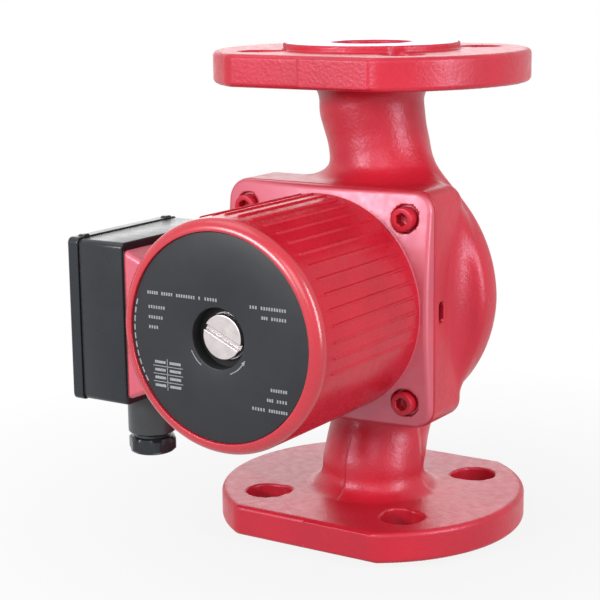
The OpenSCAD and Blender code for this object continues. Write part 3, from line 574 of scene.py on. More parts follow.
def paint(name, pebble_size, pebble_depth, wave_depth, roughness, shine, bare_from=None, lacquer=None):
    """Red enamel over a casting: a pebbled skin on a slow wave.

    Where bare_from is given, in metres, the faced rings at the pipe ends are bare iron. Where a lacquer is
    given, it says where a band of clear coat lies, in metres, and how full it is.
    """
    nodes = Nodes(bpy.data.materials.new(name))
    x, y, z = nodes.along_axes()
    colour = nodes.mix(nodes.noise(scale=38.0, detail=4.0).spread(0.35, 0.65), RED, RED_DEEP)
    bare = port_faces(x, y, z, bare_from) if bare_from else 0.0
    coat = lacquer_band(y, **lacquer) if lacquer else 0.0
    waves = nodes.bump(nodes.noise(scale=150.0, detail=2.0), wave_depth * MM)
    pebbles = nodes.noise(scale=1.0 / (pebble_size * MM))
    return nodes.surface(
        Base_Color=nodes.mix(bare, colour, IRON) if bare_from else colour,
        Metallic=bare,
        Roughness=nodes.noise(scale=240.0).spread(*NOISE_REACH, roughness - 0.04, roughness + 0.06),
        IOR=PAINT_IOR,
        Specular_IOR_Level=shine,
        Specular_Tint=PAINT_TINT,
        Coat_Weight=coat,
        Coat_IOR=LACQUER_IOR,
        Coat_Roughness=roughness,
        Normal=nodes.bump(pebbles, pebble_depth * MM, waves),
    )


def plastic(name, colour, grain_depth, roughness, shine=0.5):
    """Moulded plastic with a fine eroded grain and slight changes of sheen."""
    nodes = Nodes(bpy.data.materials.new(name))
    return nodes.surface(
        Base_Color=nodes.mix(nodes.noise(scale=60.0).spread(*NOISE_REACH), colour, shade(colour, 1.18)),
        Roughness=nodes.noise(scale=150.0).spread(*NOISE_REACH, roughness - 0.03, roughness + 0.04),
        Specular_IOR_Level=shine,
        Normal=nodes.bump(nodes.noise(scale=2600.0, detail=2.0), grain_depth * MM),
    )


def metal(name, colour, roughness, stretch=(1, 1, 1)):
    """Bare metal with fine machining streaks; stretch scales the streaks along each axis."""
    nodes = Nodes(bpy.data.materials.new(name))
    streak_depth = 0.01
    place = nodes.node("ShaderNodeMapping", {}, {"Vector": nodes.place(), "Scale": stretch})
    streaks = nodes.noise(scale=900.0, place=place)
    return nodes.surface(
        Base_Color=nodes.mix(streaks.spread(*NOISE_REACH), colour, shade(colour, 0.8)),
        Roughness=streaks.spread(*NOISE_REACH, roughness - 0.06, roughness + 0.08),
        Metallic=1.0,
        Normal=nodes.bump(streaks, streak_depth * MM),
    )


def faced_metal(name, colour, roughness):
    """Bare metal faced on a lathe: fine rings about the motor axis, with faint smudges."""
    nodes = Nodes(bpy.data.materials.new(name))
    ring_depth = 0.004
    x, _, z = nodes.along_axes()
    height = z - AXIS_Z * MM
    sockets = {"W": (x * x + height * height).root(), "Scale": 2600.0, "Detail": 4.0}
    rings = nodes.node("ShaderNodeTexNoise", {"noise_dimensions": "1D"}, sockets, "Fac")
    smudges = nodes.noise(scale=300.0, detail=4.0)
    return nodes.surface(
        Base_Color=nodes.mix(rings.spread(*NOISE_REACH), colour, shade(colour, 0.82)),
        Roughness=smudges.spread(*NOISE_REACH, roughness - 0.05, roughness + 0.06),
        Metallic=1.0,
        Normal=nodes.bump(rings, ring_depth * MM),
    )


def ink(name, thin, full):
    """Pale printing ink with slight gaps in its cover."""
    nodes = Nodes(bpy.data.materials.new(name))
    return nodes.surface(
        Base_Color=nodes.mix(nodes.noise(scale=1500.0).spread(0.3, 0.6), thin, full),
        Roughness=0.55,
    )


CAST_RED = paint("cast_red", pebble_size=1.4, pebble_depth=0.15, wave_depth=0.04, roughness=0.36, shine=0.27,
                 bare_from=109.5 * MM)
MOTOR_RED = paint("motor_red", pebble_size=1.0, pebble_depth=0.012, wave_depth=0.01, roughness=0.26,
                  shine=0.10, lacquer={"front": -0.13, "back": -0.1165, "cover": 0.4})
PLATE_RED = paint("plate_red", pebble_size=1.0, pebble_depth=0.016, wave_depth=0.01, roughness=0.46,
                  shine=1.0)
SCREW_RED = paint("screw_red", pebble_size=0.8, pebble_depth=0.012, wave_depth=0.01, roughness=0.32,
                  shine=0.23)
BOX_BLACK = plastic("box_black", SLATE, grain_depth=0.006, roughness=0.28, shine=0.38)
KNOB_BLACK = plastic("knob_black", SLATE, grain_depth=0.005, roughness=0.30, shine=0.28)
GLAND_GREY = plastic("gland_grey", (0.030, 0.032, 0.037), grain_depth=0.006, roughness=0.30, shine=0.6)
LABEL_DARK = plastic("label_dark", (0.018, 0.019, 0.023), grain_depth=0.003, roughness=0.36, shine=0.34)
# Near-black lining of the vent hole: painted shade for the deep recess round the plug
RECESS_SHADE = plastic("recess_painted_shade", (0.006, 0.005, 0.006), grain_depth=0.01, roughness=0.75)
PRINT = ink("label_print", thin=(0.20, 0.21, 0.22), full=(0.34, 0.35, 0.37))
RUBBER = plastic("seal_rubber", (0.012, 0.012, 0.013), grain_depth=0.02, roughness=0.7)
PALE = plastic("insulator_pale", (0.62, 0.58, 0.50), grain_depth=0.01, roughness=0.5)
CERAMIC = plastic("ceramic_white", (0.70, 0.68, 0.62), grain_depth=0.004, roughness=0.25)
CARBON = plastic("carbon", (0.02, 0.02, 0.022), grain_depth=0.006, roughness=0.35)
STEEL = metal("stainless", (0.55, 0.55, 0.57), roughness=0.30, stretch=(1, 6, 1))
SHEET = metal("lamination", (0.30, 0.30, 0.32), roughness=0.45, stretch=(1, 14, 1))
COPPER = metal("winding_copper", (0.62, 0.27, 0.12), roughness=0.34, stretch=(1, 0.3, 1))
BRASS = metal("screw_brass", (0.66, 0.50, 0.22), roughness=0.30)
ZINC = metal("screw_zinc", (0.60, 0.61, 0.63), roughness=0.33)
NICKEL = faced_metal("plug_nickel", (0.60, 0.55, 0.55), roughness=0.38)

NODE_MATERIALS = {
    STEEL: ["wear_ring", "impeller", "lock_sleeve", "bearing_plate", "rotor_can"],
    SHEET: ["rotor_core", "stator_core"],
    CERAMIC: ["shaft", "rear_bearing", "front_bearing"],
    CARBON: ["thrust_bearing"],
    RUBBER: ["housing_gasket", "thrust_retainer", "vent_seal", "pad_gasket", "cover_gasket", "lead_grommet",
             "gland_seal"],
    COPPER: ["stator_winding", "stator_leads"],
    ZINC: ["box_screws", "cover_screws"],
    BRASS: ["earth_screw", "terminal_screws"],
    PALE: ["terminal_block", "speed_switch", "gland_washer"],
    KNOB_BLACK: ["capacitor", "gland_locknut"],
}


def finish_nodes():
    """Gives every CAD node that stays in view its material."""
    for material, names in NODE_MATERIALS.items():
        for name in names:
            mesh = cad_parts[name].data
            mesh.materials.clear()
            mesh.materials.append(material)


# Pump casting

def flange_field(x, y, depth):
    """One flange with a low pad on its front flat; depth runs from its sealing face toward the pump."""
    side_edge = 1.5
    rim_edge = 2.2
    pad_edge = 0.4
    face_edge = 0.6
    middle = depth - FACE_H - FLANGE_T / 2
    outline = round_meet(np.hypot(x, y) - FLANGE_R, np.abs(y) - FLANGE_FLAT, side_edge)
    plate = round_meet(outline, np.abs(middle) - FLANGE_T / 2, rim_edge)
    pad_x = 16.6
    pad_half_length = 16.8
    pad_half_height = 6.0
    pad_corner = 1.0
    pad_sunk, pad_proud, pad_blend = 3.0, 0.45, 0.5
    pad = rounded_rectangle(x - pad_x, middle, pad_half_length, pad_half_height, pad_corner)
    pad = round_meet(pad, np.abs(y + FLANGE_FLAT - pad_sunk) - pad_sunk - pad_proud, pad_edge)
    face_middle, face_fillet = 5.0, 0.8
    face = round_meet(np.hypot(x, y) - FACE_R, np.abs(depth - face_middle) - face_middle, face_edge)
    return round_join(soft_join(plate, pad, pad_blend), face, face_fillet)


def flange_holes(x, y):
    """The four bolt holes with the relief toward the port, as seen along the pipe."""
    diagonal = math.sqrt(0.5)
    u = (np.abs(x) + np.abs(y)) * diagonal
    v = (np.abs(x) - np.abs(y)) * diagonal
    hole = np.hypot(u - HOLE_PLACE, v) - HOLE_R
    relief = np.hypot(u - RELIEF_PLACE, v) - RELIEF_R
    return np.minimum(hole, relief)


def volute_radius(x, z):
    """Rim radius of the spiral, which grows from the left of the outlet, under the axis, to its right."""
    least_r, growth = 53.0, 9.4
    start = 112.0
    growing = 248.0
    tongue = 326.0
    tongue_width = 28.0
    turn = (np.degrees(np.arctan2(z - AXIS_Z, x)) - start) % 360.0
    grown = np.clip(turn / growing, 0.0, 1.0) - smooth_step((turn - tongue) / tongue_width)
    return least_r + growth * grown


def cone(out, y, normal, through):
    """Distance to a cone about the motor axis, from its normal and a place on it, as (out, y)."""
    return normal[0] * (out - through[0]) + normal[1] * (y - through[1])


def volute_field(x, y, z):
    """The spiral casing: a sloped front, a bulging rim and a sloped back, with creases between them."""
    bulge_r = 25.0
    bulge_y = -3.0
    front_crease = 1.6
    back_crease = 3.0
    out = np.hypot(x, z - AXIS_Z) - volute_radius(x, z)
    front = cone(out, y, normal=(0.555, -0.832), through=(-2.0, -11.0))
    rim = np.hypot(np.maximum(out + bulge_r, 0.0), y - bulge_y) - bulge_r
    back = cone(out, y, normal=(0.45, 0.893), through=(-1.2, 4.0))
    return round_meet(round_meet(front, rim, front_crease), back, back_crease)


def block_field(x, y, z):
    """The square block that carries the motor joint."""
    back_edge, joint_edge = 4.0, 0.7
    outline = rounded_rectangle(x, z - AXIS_Z, HALF_SQUARE, HALF_SQUARE, SQUARE_CORNER)
    return round_meet(round_meet(outline, y - BLOCK_BACK, back_edge), JOINT_Y - y, joint_edge)


def round_hollow(radius, y, wall, middle, half_depth):
    """A flat round hollow about the motor axis, from its wall's radius and its middle along Y."""
    return np.maximum(radius - wall, np.abs(y - middle) - half_depth)


def water_field(x, y, z):
    """The joint bore, volute channel, impeller eye, suction chamber and the passages to the ports."""
    bore_r = 42.0
    bore_floor = -15.0
    channel_wall = 12.5
    outlet_floor = 149.0
    radius = np.hypot(x, z - AXIS_Z)
    bore = np.maximum(radius - bore_r, y - bore_floor)
    channel = round_hollow(radius, y, volute_radius(x, z) - channel_wall, middle=-8.5, half_depth=7.5)
    eye = round_hollow(radius, y, wall=20.2, middle=2.0, half_depth=5.0)
    chamber = round_hollow(radius, y, wall=32.0, middle=16.5, half_depth=11.5)
    rise = tapered_bar(x, y, z, start=(0, 0, 28), end=(0, 21, 74), start_r=14.0, end_r=14.0)
    outlet = tapered_bar(x, y, z, start=(0, 0, 192), end=(9, 0, 150), start_r=16.0, end_r=16.0)
    outlet = np.maximum(outlet, outlet_floor - z)
    return np.minimum.reduce(np.broadcast_arrays(bore, channel, eye, chamber, rise, outlet))


def body_field(x, y, z):
    """The outside of the casting between its flanges: volute, suction chamber, necks and joint block."""
    chamber_r = 38.0
    chamber_y = 14.0
    chamber_half_depth = 19.5
    chamber_edge = 8.0
    chamber_blend = 9.0
    around = np.hypot(x, z - AXIS_Z) - chamber_r
    chamber = round_meet(around, np.abs(y - chamber_y) - chamber_half_depth, chamber_edge)
    body = soft_join(volute_field(x, y, z), chamber, chamber_blend)
    step = smooth_step((x - STEP_X) / STEP_WIDTH) * smooth_step((STEP_FADE - y) / STEP_FADE)
    body = soft_join(body, bent_neck(x, y, z, INLET_STATIONS) - STEP_H * step, INLET_BLEND)
    body = soft_join(body, bent_neck(x, y, z, OUTLET_STATIONS), OUTLET_BLEND)
    return round_join(body, block_field(x, y, z), BLOCK_FILLET)


def housing_field(x, y, z):
    """The whole pump casting with its ports, bolt holes, drain slots and water passages."""
    mouth_edge, drain_edge = 0.8, 0.5
    depth = np.minimum(z, PORT_GAP - z)
    body = np.maximum(body_field(x, y, z), FACE_H + FLANGE_T / 2 - depth)
    whole = round_join(body, flange_field(x, y, depth), NECK_FILLET)
    port_depth = np.where(z < AXIS_Z, INLET_PORT_DEPTH, OUTLET_PORT_DEPTH)
    port = np.maximum(np.hypot(x, y) - PORT_R, depth - port_depth)
    whole = round_meet(whole, -port, mouth_edge)
    holes = np.maximum(flange_holes(x, y), depth - HOLE_DEPTH)
    whole = round_meet(whole, -holes, mouth_edge)
    drain = rounded_rectangle(y - DRAIN_Y, z - DRAIN_Z, DRAIN_HALF_WIDTH, DRAIN_HALF_HEIGHT, DRAIN_CORNER)
    drain = np.maximum(drain, HALF_SQUARE - DRAIN_DEPTH - np.abs(x))
    whole = round_meet(whole, -drain, drain_edge)
    return round_meet(whole, -water_field(x, y, z), mouth_edge)


def add_pump_casting():
    """The housing, sampled finer through the flanges than between them."""
    margin = 1.2
    flange_step = 0.95
    middle_step = 1.3
    across_step = 1.25
    along_step = 1.2
    flange_top = FACE_H + FLANGE_T + margin
    low = span(-margin, flange_top, flange_step)
    middle = span(flange_top, PORT_GAP - flange_top, middle_step)[1:-1]
    high = PORT_GAP - low[::-1]
    across = span(-FLANGE_R - margin, FLANGE_R + margin, across_step)
    along = span(-FLANGE_FLAT - margin, FLANGE_FLAT + margin, along_step)
    spans = (across, along, np.concatenate([low, middle, high]))
    add_cast("pump_casting", housing_field, spans, "pump_body", CAST_RED, ["pump_housing"])


# Motor

def plate_field(x, y, up):
    """The square motor plate: its face slopes back toward the corners, and each screw has a seat."""
    front_edge, joint_edge, seat_edge = 1.8, 0.7, 0.5
    outline = rounded_rectangle(x, up, HALF_SQUARE, HALF_SQUARE, PLATE_CORNER)
    front = PLATE_Y - PLATE_CROWN + PLATE_FALL * np.maximum(np.hypot(x, up) - BARREL_R, 0.0)
    plate = round_meet(round_meet(outline, front - y, front_edge), y - JOINT_Y, joint_edge)
    from_screw = np.hypot(np.abs(x) - SCREW_PLACE, np.abs(up) - SCREW_PLACE)
    seat = np.maximum(from_screw - SCREW_SEAT_R, y - PLATE_Y - SCREW_SEAT_DEPTH)
    return round_meet(plate, -seat, seat_edge)


def pad_field(x, y, z):
    """The wedge that carries the terminal box, with a fillet to the strip of barrel that it stands on."""
    end_edge = 2.0
    face_edge = 0.8
    root_x = -30.0
    root_fillet = 4.0
    half_height = PAD_HALF_HEIGHT - (PAD_FACE + x) * PAD_SLOPE
    slant = 1.0 / math.hypot(1.0, PAD_SLOPE)
    from_middle = np.abs(y - PAD_MIDDLE)
    pad = round_meet((np.abs(z - BOX_Z) - half_height) * slant, from_middle - PAD_HALF_LENGTH, end_edge)
    pad = np.maximum(round_meet(pad, -x - PAD_FACE, face_edge), x - root_x)
    strip_sunk, strip_half_length, strip_x = 0.3, 32.0, -25.0
    strip = np.maximum(from_middle - strip_half_length, x - strip_x)
    strip = np.maximum(np.hypot(x, z - AXIS_Z) - BAND_R + strip_sunk, strip)
    return round_join(pad, strip, root_fillet)


def motor_field(x, y, z):
    """The motor plate, the foot of the barrel and the box pad, hollow inside and recessed at the joint."""
    foot_sunk = 0.5
    foot_middle = -44.0
    foot_half_length = 6.0
    foot_fillet = 1.2
    pad_fillet = 1.5
    shell_gap, recess_r, recess_floor = 0.2, 46.0, -38.6
    up = z - AXIS_Z
    radius = np.hypot(x, up)
    foot = np.maximum(radius - BAND_R + foot_sunk, np.abs(y - foot_middle) - foot_half_length)
    shell = round_join(plate_field(x, y, up), foot, foot_fillet)
    whole = round_join(shell, pad_field(x, y, z), pad_fillet)
    recess = np.maximum(radius - recess_r, recess_floor - y)
    return np.maximum(whole, -np.minimum(radius - SHELL_R - shell_gap, recess))


def add_motor_casting():
    """The square plate and the box pad, as one casting with the barrel."""
    margin, step = 1.0, 0.9
    spans = (span(-PAD_FACE - margin, HALF_SQUARE + margin, step),
             span(PAD_MIDDLE - PAD_HALF_LENGTH - 2 * margin, JOINT_Y + margin, step),
             span(AXIS_Z - HALF_SQUARE - margin, AXIS_Z + HALF_SQUARE + margin, step))
    add_cast("motor_casting", motor_field, spans, "pump_body", PLATE_RED, ["stator_housing"])


def rib_lift(station, angle):
    """Height of the barrel ribs: narrow ridges with round ends, one each pitch, left off the underside."""
    pitch, straight_down, slope_width = 360.0 / RIB_COUNT, 270.0, 0.6
    turn = np.degrees(angle) % 360.0
    turn = np.where(turn > straight_down, turn - 360.0, turn)
    centre = np.clip(np.round((turn - RIB_FIRST) / pitch) * pitch + RIB_FIRST, RIB_FIRST, RIB_LAST)
    across = np.radians(turn - centre) * BARREL_R
    half_length = (RIBS_FRONT - RIBS_BACK) / 2
    from_middle = station - RIBS_BACK - half_length
    gap = rounded_rectangle(across, from_middle, RIB_HALF_WIDTH, half_length, RIB_HALF_WIDTH)
    return RIB_H * smooth_step(0.5 - gap / slope_width)


def add_motor_barrel():
    """The ribbed barrel and its front ring: a closed profile turned about the axis, lifted by the ribs."""
    barrel_back = 39.0
    ring_floor = 116.0
    before_end = 0.4
    after_end = 1.2
    end_rows = 7
    back_end = np.linspace(RIBS_BACK - before_end, RIBS_BACK + after_end, end_rows)
    front_end = np.linspace(RIBS_FRONT - after_end, RIBS_FRONT + before_end, end_rows)
    side = np.concatenate([[barrel_back], back_end, np.linspace(54.0, 105.0, 7), front_end])
    seat, seat_r, hole_r = LABEL_SEAT - 0.1, LABEL_R + 0.2, VENT_HOLE_R + 0.6
    profile = np.concatenate([
        np.stack([side, np.full_like(side, BAND_R)], axis=1),
        arc(RING_FRONT - RING_ROUND, BAND_R - RING_ROUND, RING_ROUND, 0, 90, 16),
        [(RING_FRONT - 0.1, LABEL_R + 0.4), (RING_FRONT - 0.5, seat_r)],
        [(seat, seat_r), (seat, hole_r), (ring_floor, hole_r)],
        [(ring_floor, SHELL_R), (barrel_back, SHELL_R)],
    ])
    per_rib = 28
    count = RIB_COUNT * per_rib
    outside = profile[:, 1:] > BAND_R - 0.5
    lift = rib_lift(profile[:, :1], full_turn(count)[None, :]) * outside
    shape = turned(profile, MOTOR_AXES, count, lift=lift)
    add_piece("motor_barrel", shape, "pump_body", MOTOR_RED, ["stator_housing"])


def add_motor_screws():
    """Four socket-head screws: a turned head and shank with a hexagon socket."""
    count = 48
    head_r = 5.0
    head_h = 6.0
    head_edge = 0.6
    half_socket = 2.5
    socket_depth = 4.5
    shank_r, shank_end, shank_chamfer = 3.0, 23.5, 0.5
    angle = full_turn(count)[None, :]
    seat = -PLATE_Y - SCREW_SEAT_DEPTH
    top = seat + head_h
    outside = np.concatenate([
        [(shank_end, shank_r - shank_chamfer), (shank_end + shank_chamfer, shank_r)],
        [(seat, shank_r), (seat, head_r)],
        arc(top - head_edge, head_r - head_edge, head_edge, 0, 90, 5),
        [(top, half_socket * 1.2)],
    ])
    inside = [(top - 0.35, 0.0), (top - socket_depth, 0.0), (top - socket_depth - 0.3, -0.6)]
    socket = [hexagon(angle[0], half_socket) + narrower for _, narrower in inside]
    radius = np.concatenate([outside[:, 1:] + 0 * angle, socket])
    level = np.concatenate([outside[:, :1], [[depth] for depth, _ in inside]])
    shapes = []
    for x in (-SCREW_PLACE, SCREW_PLACE):
        for up in (-SCREW_PLACE, SCREW_PLACE):
            axes = MOTOR_AXES + [(x, 0, up), (0, 0, 0), (0, 0, 0), (0, 0, 0)]
            shapes.append(loft(carried(radius * np.cos(angle), radius * np.sin(angle), level, axes)))
    add_piece("motor_screw_set", joined(shapes), "pump_body", SCREW_RED, ["motor_screws"])


def add_label():
    """The name plate, a thin disc with a rounded rim, and a near-black cup in the vent hole, which is
    painted shade for the deep recess round the plug.
    """
    edge = 0.25
    profile = np.concatenate([
        [(LABEL_SEAT, LABEL_R)],
        arc(LABEL_FACE - edge, LABEL_R - edge, edge, 0, 90, 4),
        arc(LABEL_FACE - edge, VENT_HOLE_R + edge, edge, 90, 180, 4),
        [(LABEL_SEAT, VENT_HOLE_R)],
    ])
    disc = turned(profile, MOTOR_AXES, 192)
    add_piece("label_disc", disc, "pump_body", LABEL_DARK, ["name_plate"])
    wall = 0.5
    rim = LABEL_SEAT - 0.05
    cup_floor = PLUG_SEAT + 0.6
    cup_back = PLUG_SEAT + 0.1
    # A near-black cup over the can's face in the vent hole: painted shade of the recess
    cup = [(rim, VENT_HOLE_R + wall), (rim, VENT_HOLE_R), (cup_floor, VENT_HOLE_R),
           (cup_floor, PLUG_R + wall), (cup_back, PLUG_R + wall), (cup_back, VENT_HOLE_R + wall)]
    add_piece("vent_recess_shade", turned(cup, MOTOR_AXES, 96), "pump_body", RECESS_SHADE)


# Printing on the name plate; a row is its height over the motor axis and the lengths of its groups of blocks

ROW_H = 1.3
BLOCK_PITCH = 1.2
BLOCK_WIDTH = 0.72
GROUP_GAP = 1.4
LEFT_ROWS = {9.5: [8.6], 5.3: [7.4], 1.2: [5.0]}
RIGHT_ROWS = {14.5: [3.8, 12.0], 10.7: [3.2, 7.2], -17.6: [8.0], -21.8: [3.2, 5.2], -26.0: [6.4, 9.0]}


def printed_bar(left, right, up, height):
    """A plain printed bar on the name plate."""
    low, high = up - height / 2, up + height / 2
    below, above = [(left, low), (right, low)], [(left, high), (right, high)]
    return ribbon(below, above, PRINT_LOW, PRINT_HIGH, MOTOR_AXES)


def printed_arc(radius, start, end, width, count=24):
    """A printed arc about the motor axis, with its width at the start and at the end."""
    a = np.radians(np.linspace(start, end, count))
    half = np.linspace(width[0], width[1], count)[:, None] / 2
    ray = np.stack([np.cos(a), np.sin(a)], axis=1)
    return ribbon(ray * (radius + half), ray * (radius - half), PRINT_LOW, PRINT_HIGH, MOTOR_AXES)


def printed_row(left, up, groups):
    """A row of plain small blocks in groups of the given lengths."""
    bars = []
    for length in groups:
        blocks = max(1, round(length / BLOCK_PITCH))
        lefts = left + np.arange(blocks) * length / blocks
        bars += [printed_bar(block, block + BLOCK_WIDTH, up, ROW_H) for block in lefts]
        left += length + GROUP_GAP
    return bars


def printed_table():
    """A small ruled table with a plain bar in each of its cells."""
    left = -32.4
    right = -17.6
    middle = -25.2
    line = 0.3
    bar_h = 1.1
    line_up = 1.6
    rows = np.linspace(-13.0, -26.0, 5)
    marks = [printed_bar(left, right, up + line_up, line) for up in rows[1:-1]]
    for up in rows[:-1]:
        marks.append(printed_bar(left + 0.8, middle - 1.0, up, bar_h))
        marks.append(printed_bar(middle + 1.0, right - 1.0, up, bar_h))
    top, bottom = -11.4, -24.6
    ends = np.array([(middle, top), (middle, bottom)])
    marks.append(ribbon(ends, ends - (line, 0.0), PRINT_LOW, PRINT_HIGH, MOTOR_AXES))
    return marks


def add_label_print():
    """Rows of plain blocks, a plain table, a turning arrow round the plug and dashes along the rim."""
    left_edge, right_edge = -34.0, 32.7
    marks = printed_row(left_edge - 0.4, 15.4, [5.6, 6.0, 9.6, 1.6, 6.4])
    for up, groups in LEFT_ROWS.items():
        marks += printed_row(left_edge, up, groups)
    for up, groups in RIGHT_ROWS.items():
        length = sum(groups) + GROUP_GAP * (len(groups) - 1)
        marks += printed_row(right_edge - length, up, groups)
    marks += printed_table()
    tail_r = VENT_HOLE_R + 1.9
    arrow_r = VENT_HOLE_R + 2.3
    line = (0.35, 0.5)
    tip = (1.6, 0.1)
    marks.append(printed_arc(tail_r, 205, 234, line))
    marks.append(printed_arc(arrow_r, 292, 322, line))
    marks.append(printed_arc(arrow_r, 322, 330, tip, 6))
    dash_r, dash_turn, dash_width = LABEL_R - 1.2, 3.4, (0.6, 0.6)
    for start in np.arange(163.0, 212.0, 5.0):
        marks.append(printed_arc(dash_r, start, start + dash_turn, dash_width, 6))
    add_piece("label_print", joined(marks), "pump_body", PRINT)


# Vent plug

def plug_field(x, y, z):
    """The vent plug: a slotted head on a threaded shank, whose radius dips once each turn and pitch."""
    head_edge = 0.5
    slot_edge = 0.25
    half_dip = 0.25
    seat_gap = 0.05
    overlap = 1.0
    up = z - AXIS_Z
    station = -y
    radius = np.hypot(x, up)
    head_middle, half_head = (PLUG_FACE + PLUG_SEAT + seat_gap) / 2, (PLUG_FACE - PLUG_SEAT - seat_gap) / 2
    head = round_meet(radius - PLUG_R, np.abs(station - head_middle) - half_head, head_edge)
    turn = math.radians(SLOT_TURN)
    across = np.abs(up * math.cos(turn) - x * math.sin(turn)) - SLOT_W / 2
    head = round_meet(head, -np.maximum(across, PLUG_FACE - SLOT_DEPTH - station), slot_edge)
    dip = half_dip + half_dip * np.cos(2 * math.pi * station / THREAD_PITCH - np.arctan2(up, x))
    shank = np.maximum(PLUG_END - station, station - PLUG_SEAT - overlap)
    return np.minimum(head, np.maximum(radius - PLUG_THREAD_R + dip, shank))


def add_vent_plug():
    """The vent plug on its own body."""
    margin, step = 0.6, 0.3
    half = PLUG_R + margin
    spans = (span(-half, half, step), span(-PLUG_FACE - margin, -PLUG_END + margin, step),
             span(AXIS_Z - PLUG_R - margin, AXIS_Z + PLUG_R + margin, step))
    add_cast("vent_plug_head", plug_field, spans, "vent_plug_body", NICKEL, ["vent_plug"])


# Terminal box; rows are levels with the inset of the outline there

def add_box_base():
    """The box base: a rounded outline carried from its back to its rim and down inside to its floor."""
    back_edge = [(0.0, 0.8), (0.1, 0.4), (0.4, 0.1), (0.8, 0.0)]
    rim = [(BOX_DEPTH - 0.5, 0.0), (BOX_DEPTH - 0.15, 0.15), (BOX_DEPTH, 0.5)]
    inner_rim = [(BOX_DEPTH, BOX_WALL - 0.3), (BOX_DEPTH - 0.3, BOX_WALL)]
    floor_edge = [(BOX_WALL + 0.6, BOX_WALL), (BOX_WALL, BOX_WALL + 0.6)]
    rows = np.array(back_edge + rim + inner_rim + floor_edge)
    u, v = rounded_outline(BOX_HALF_LENGTH, BOX_HALF_HEIGHT, BOX_CORNER, rows[:, 1])
    shape = loft(carried(u, v, rows[:, :1], BOX_AXES))
    add_piece("box_base", shape, "pump_body", BOX_BLACK, ["terminal_box"])


def cover_field(x, y, z):
    """The box cover: a shallow lid with two lugs on top, seats for its screws and a hole for the knob."""
    front_edge = 1.2
    back_edge = 0.4
    lug_corner = 0.6
    lug_edge = 0.5
    lug_blend = 0.6
    seat_edge = 0.3
    inner_corner, boss_r, spindle_gap = 1.0, 5.0, 0.2
    u, v, level = BOX_Y - y, z - BOX_Z, BOX_X - x
    outline = rounded_rectangle(u, v, BOX_HALF_LENGTH + COVER_LIP, BOX_HALF_HEIGHT + COVER_LIP, BOX_CORNER)
    lid = round_meet(round_meet(outline, level - COVER_FRONT, front_edge), COVER_BACK - level, back_edge)
    lug_u, lug_level = np.abs(u) - LUG_PLACE, level - COVER_BACK - LUG_T / 2
    lug = rounded_rectangle(lug_u, lug_level, LUG_HALF_LENGTH, LUG_T / 2, lug_corner)
    lug = round_meet(lug, np.abs(v - BOX_HALF_HEIGHT) - COVER_LIP - LUG_H, lug_edge)
    whole = soft_join(lid, lug, lug_blend)
    inner = rounded_rectangle(u, v, BOX_HALF_LENGTH - BOX_WALL, BOX_HALF_HEIGHT - BOX_WALL, inner_corner)
    from_screw = np.hypot(np.abs(u) - COVER_SCREW_U, np.abs(v) - COVER_SCREW_V)
    hollow = np.maximum(np.maximum(inner, boss_r - from_screw), level - COVER_FRONT + BOX_WALL)
    whole = np.maximum(whole, -hollow)
    seat = np.maximum(from_screw - COVER_SCREW_R, COVER_SCREW_SEAT - level)
    whole = round_meet(whole, -seat, seat_edge)
    return np.maximum(whole, SPINDLE_R + spindle_gap - np.hypot(u, v - KNOB_UP))


def add_cover():
    """The box cover, sampled finer through its thickness than across it."""
    margin, deep_step, across_step = 0.8, 0.45, 0.7
    half_u = BOX_HALF_LENGTH + COVER_LIP + margin
    half_v = BOX_HALF_HEIGHT + COVER_LIP + LUG_H + margin
    spans = (span(BOX_X - COVER_FRONT - margin, BOX_X - COVER_BACK + margin, deep_step),
             span(BOX_Y - half_u, BOX_Y + half_u, across_step),
             span(BOX_Z - half_v, BOX_Z + half_v, across_step))
    add_cast("box_cover", cover_field, spans, "pump_body", BOX_BLACK, ["terminal_cover"])


def scale_stroke(start, end, half_width, past_end=0.0):
    """A straight printed stroke on the cover, between two places about the knob."""
    along = (end - start) / np.linalg.norm(end - start)
    across = np.array([-along[1], along[0]]) * half_width
    start, end = start - along * past_end, end + along * past_end
    return ribbon([start - across, end - across], [start + across, end + across],
                  COVER_FRONT - 0.02, COVER_FRONT + 0.05, KNOB_AXES)


def add_speed_scale():
    """A tick and a plain number for each speed; strokes join points of a one by one square."""
    strokes = {
        "1": [(0.5, 0, 0.5, 1)],
        "2": [(0, 1, 1, 1), (1, 1, 1, 0.5), (1, 0.5, 0, 0.5), (0, 0.5, 0, 0), (0, 0, 1, 0)],
        "3": [(0, 1, 1, 1), (1, 1, 1, 0), (0, 0.5, 1, 0.5), (0, 0, 1, 0)],
    }
    tick_start = 14.6
    tick_end = 16.6
    half_tick = 0.3
    digit_r = 20.2
    half_stroke = 0.25
    digit_size = np.array([2.2, 3.6])
    marks = []
    for digit, turn in (("1", 150.0), ("2", 90.0), ("3", 30.0)):
        ray = np.array([math.cos(math.radians(turn)), math.sin(math.radians(turn))])
        marks.append(scale_stroke(ray * tick_start, ray * tick_end, half_tick))
        corner = ray * digit_r - digit_size / 2
        for stroke in strokes[digit]:
            start, end = corner + stroke[:2] * digit_size, corner + stroke[2:] * digit_size
            marks.append(scale_stroke(start, end, half_stroke, half_stroke))
    add_piece("speed_scale", joined(marks), "pump_body", PRINT)


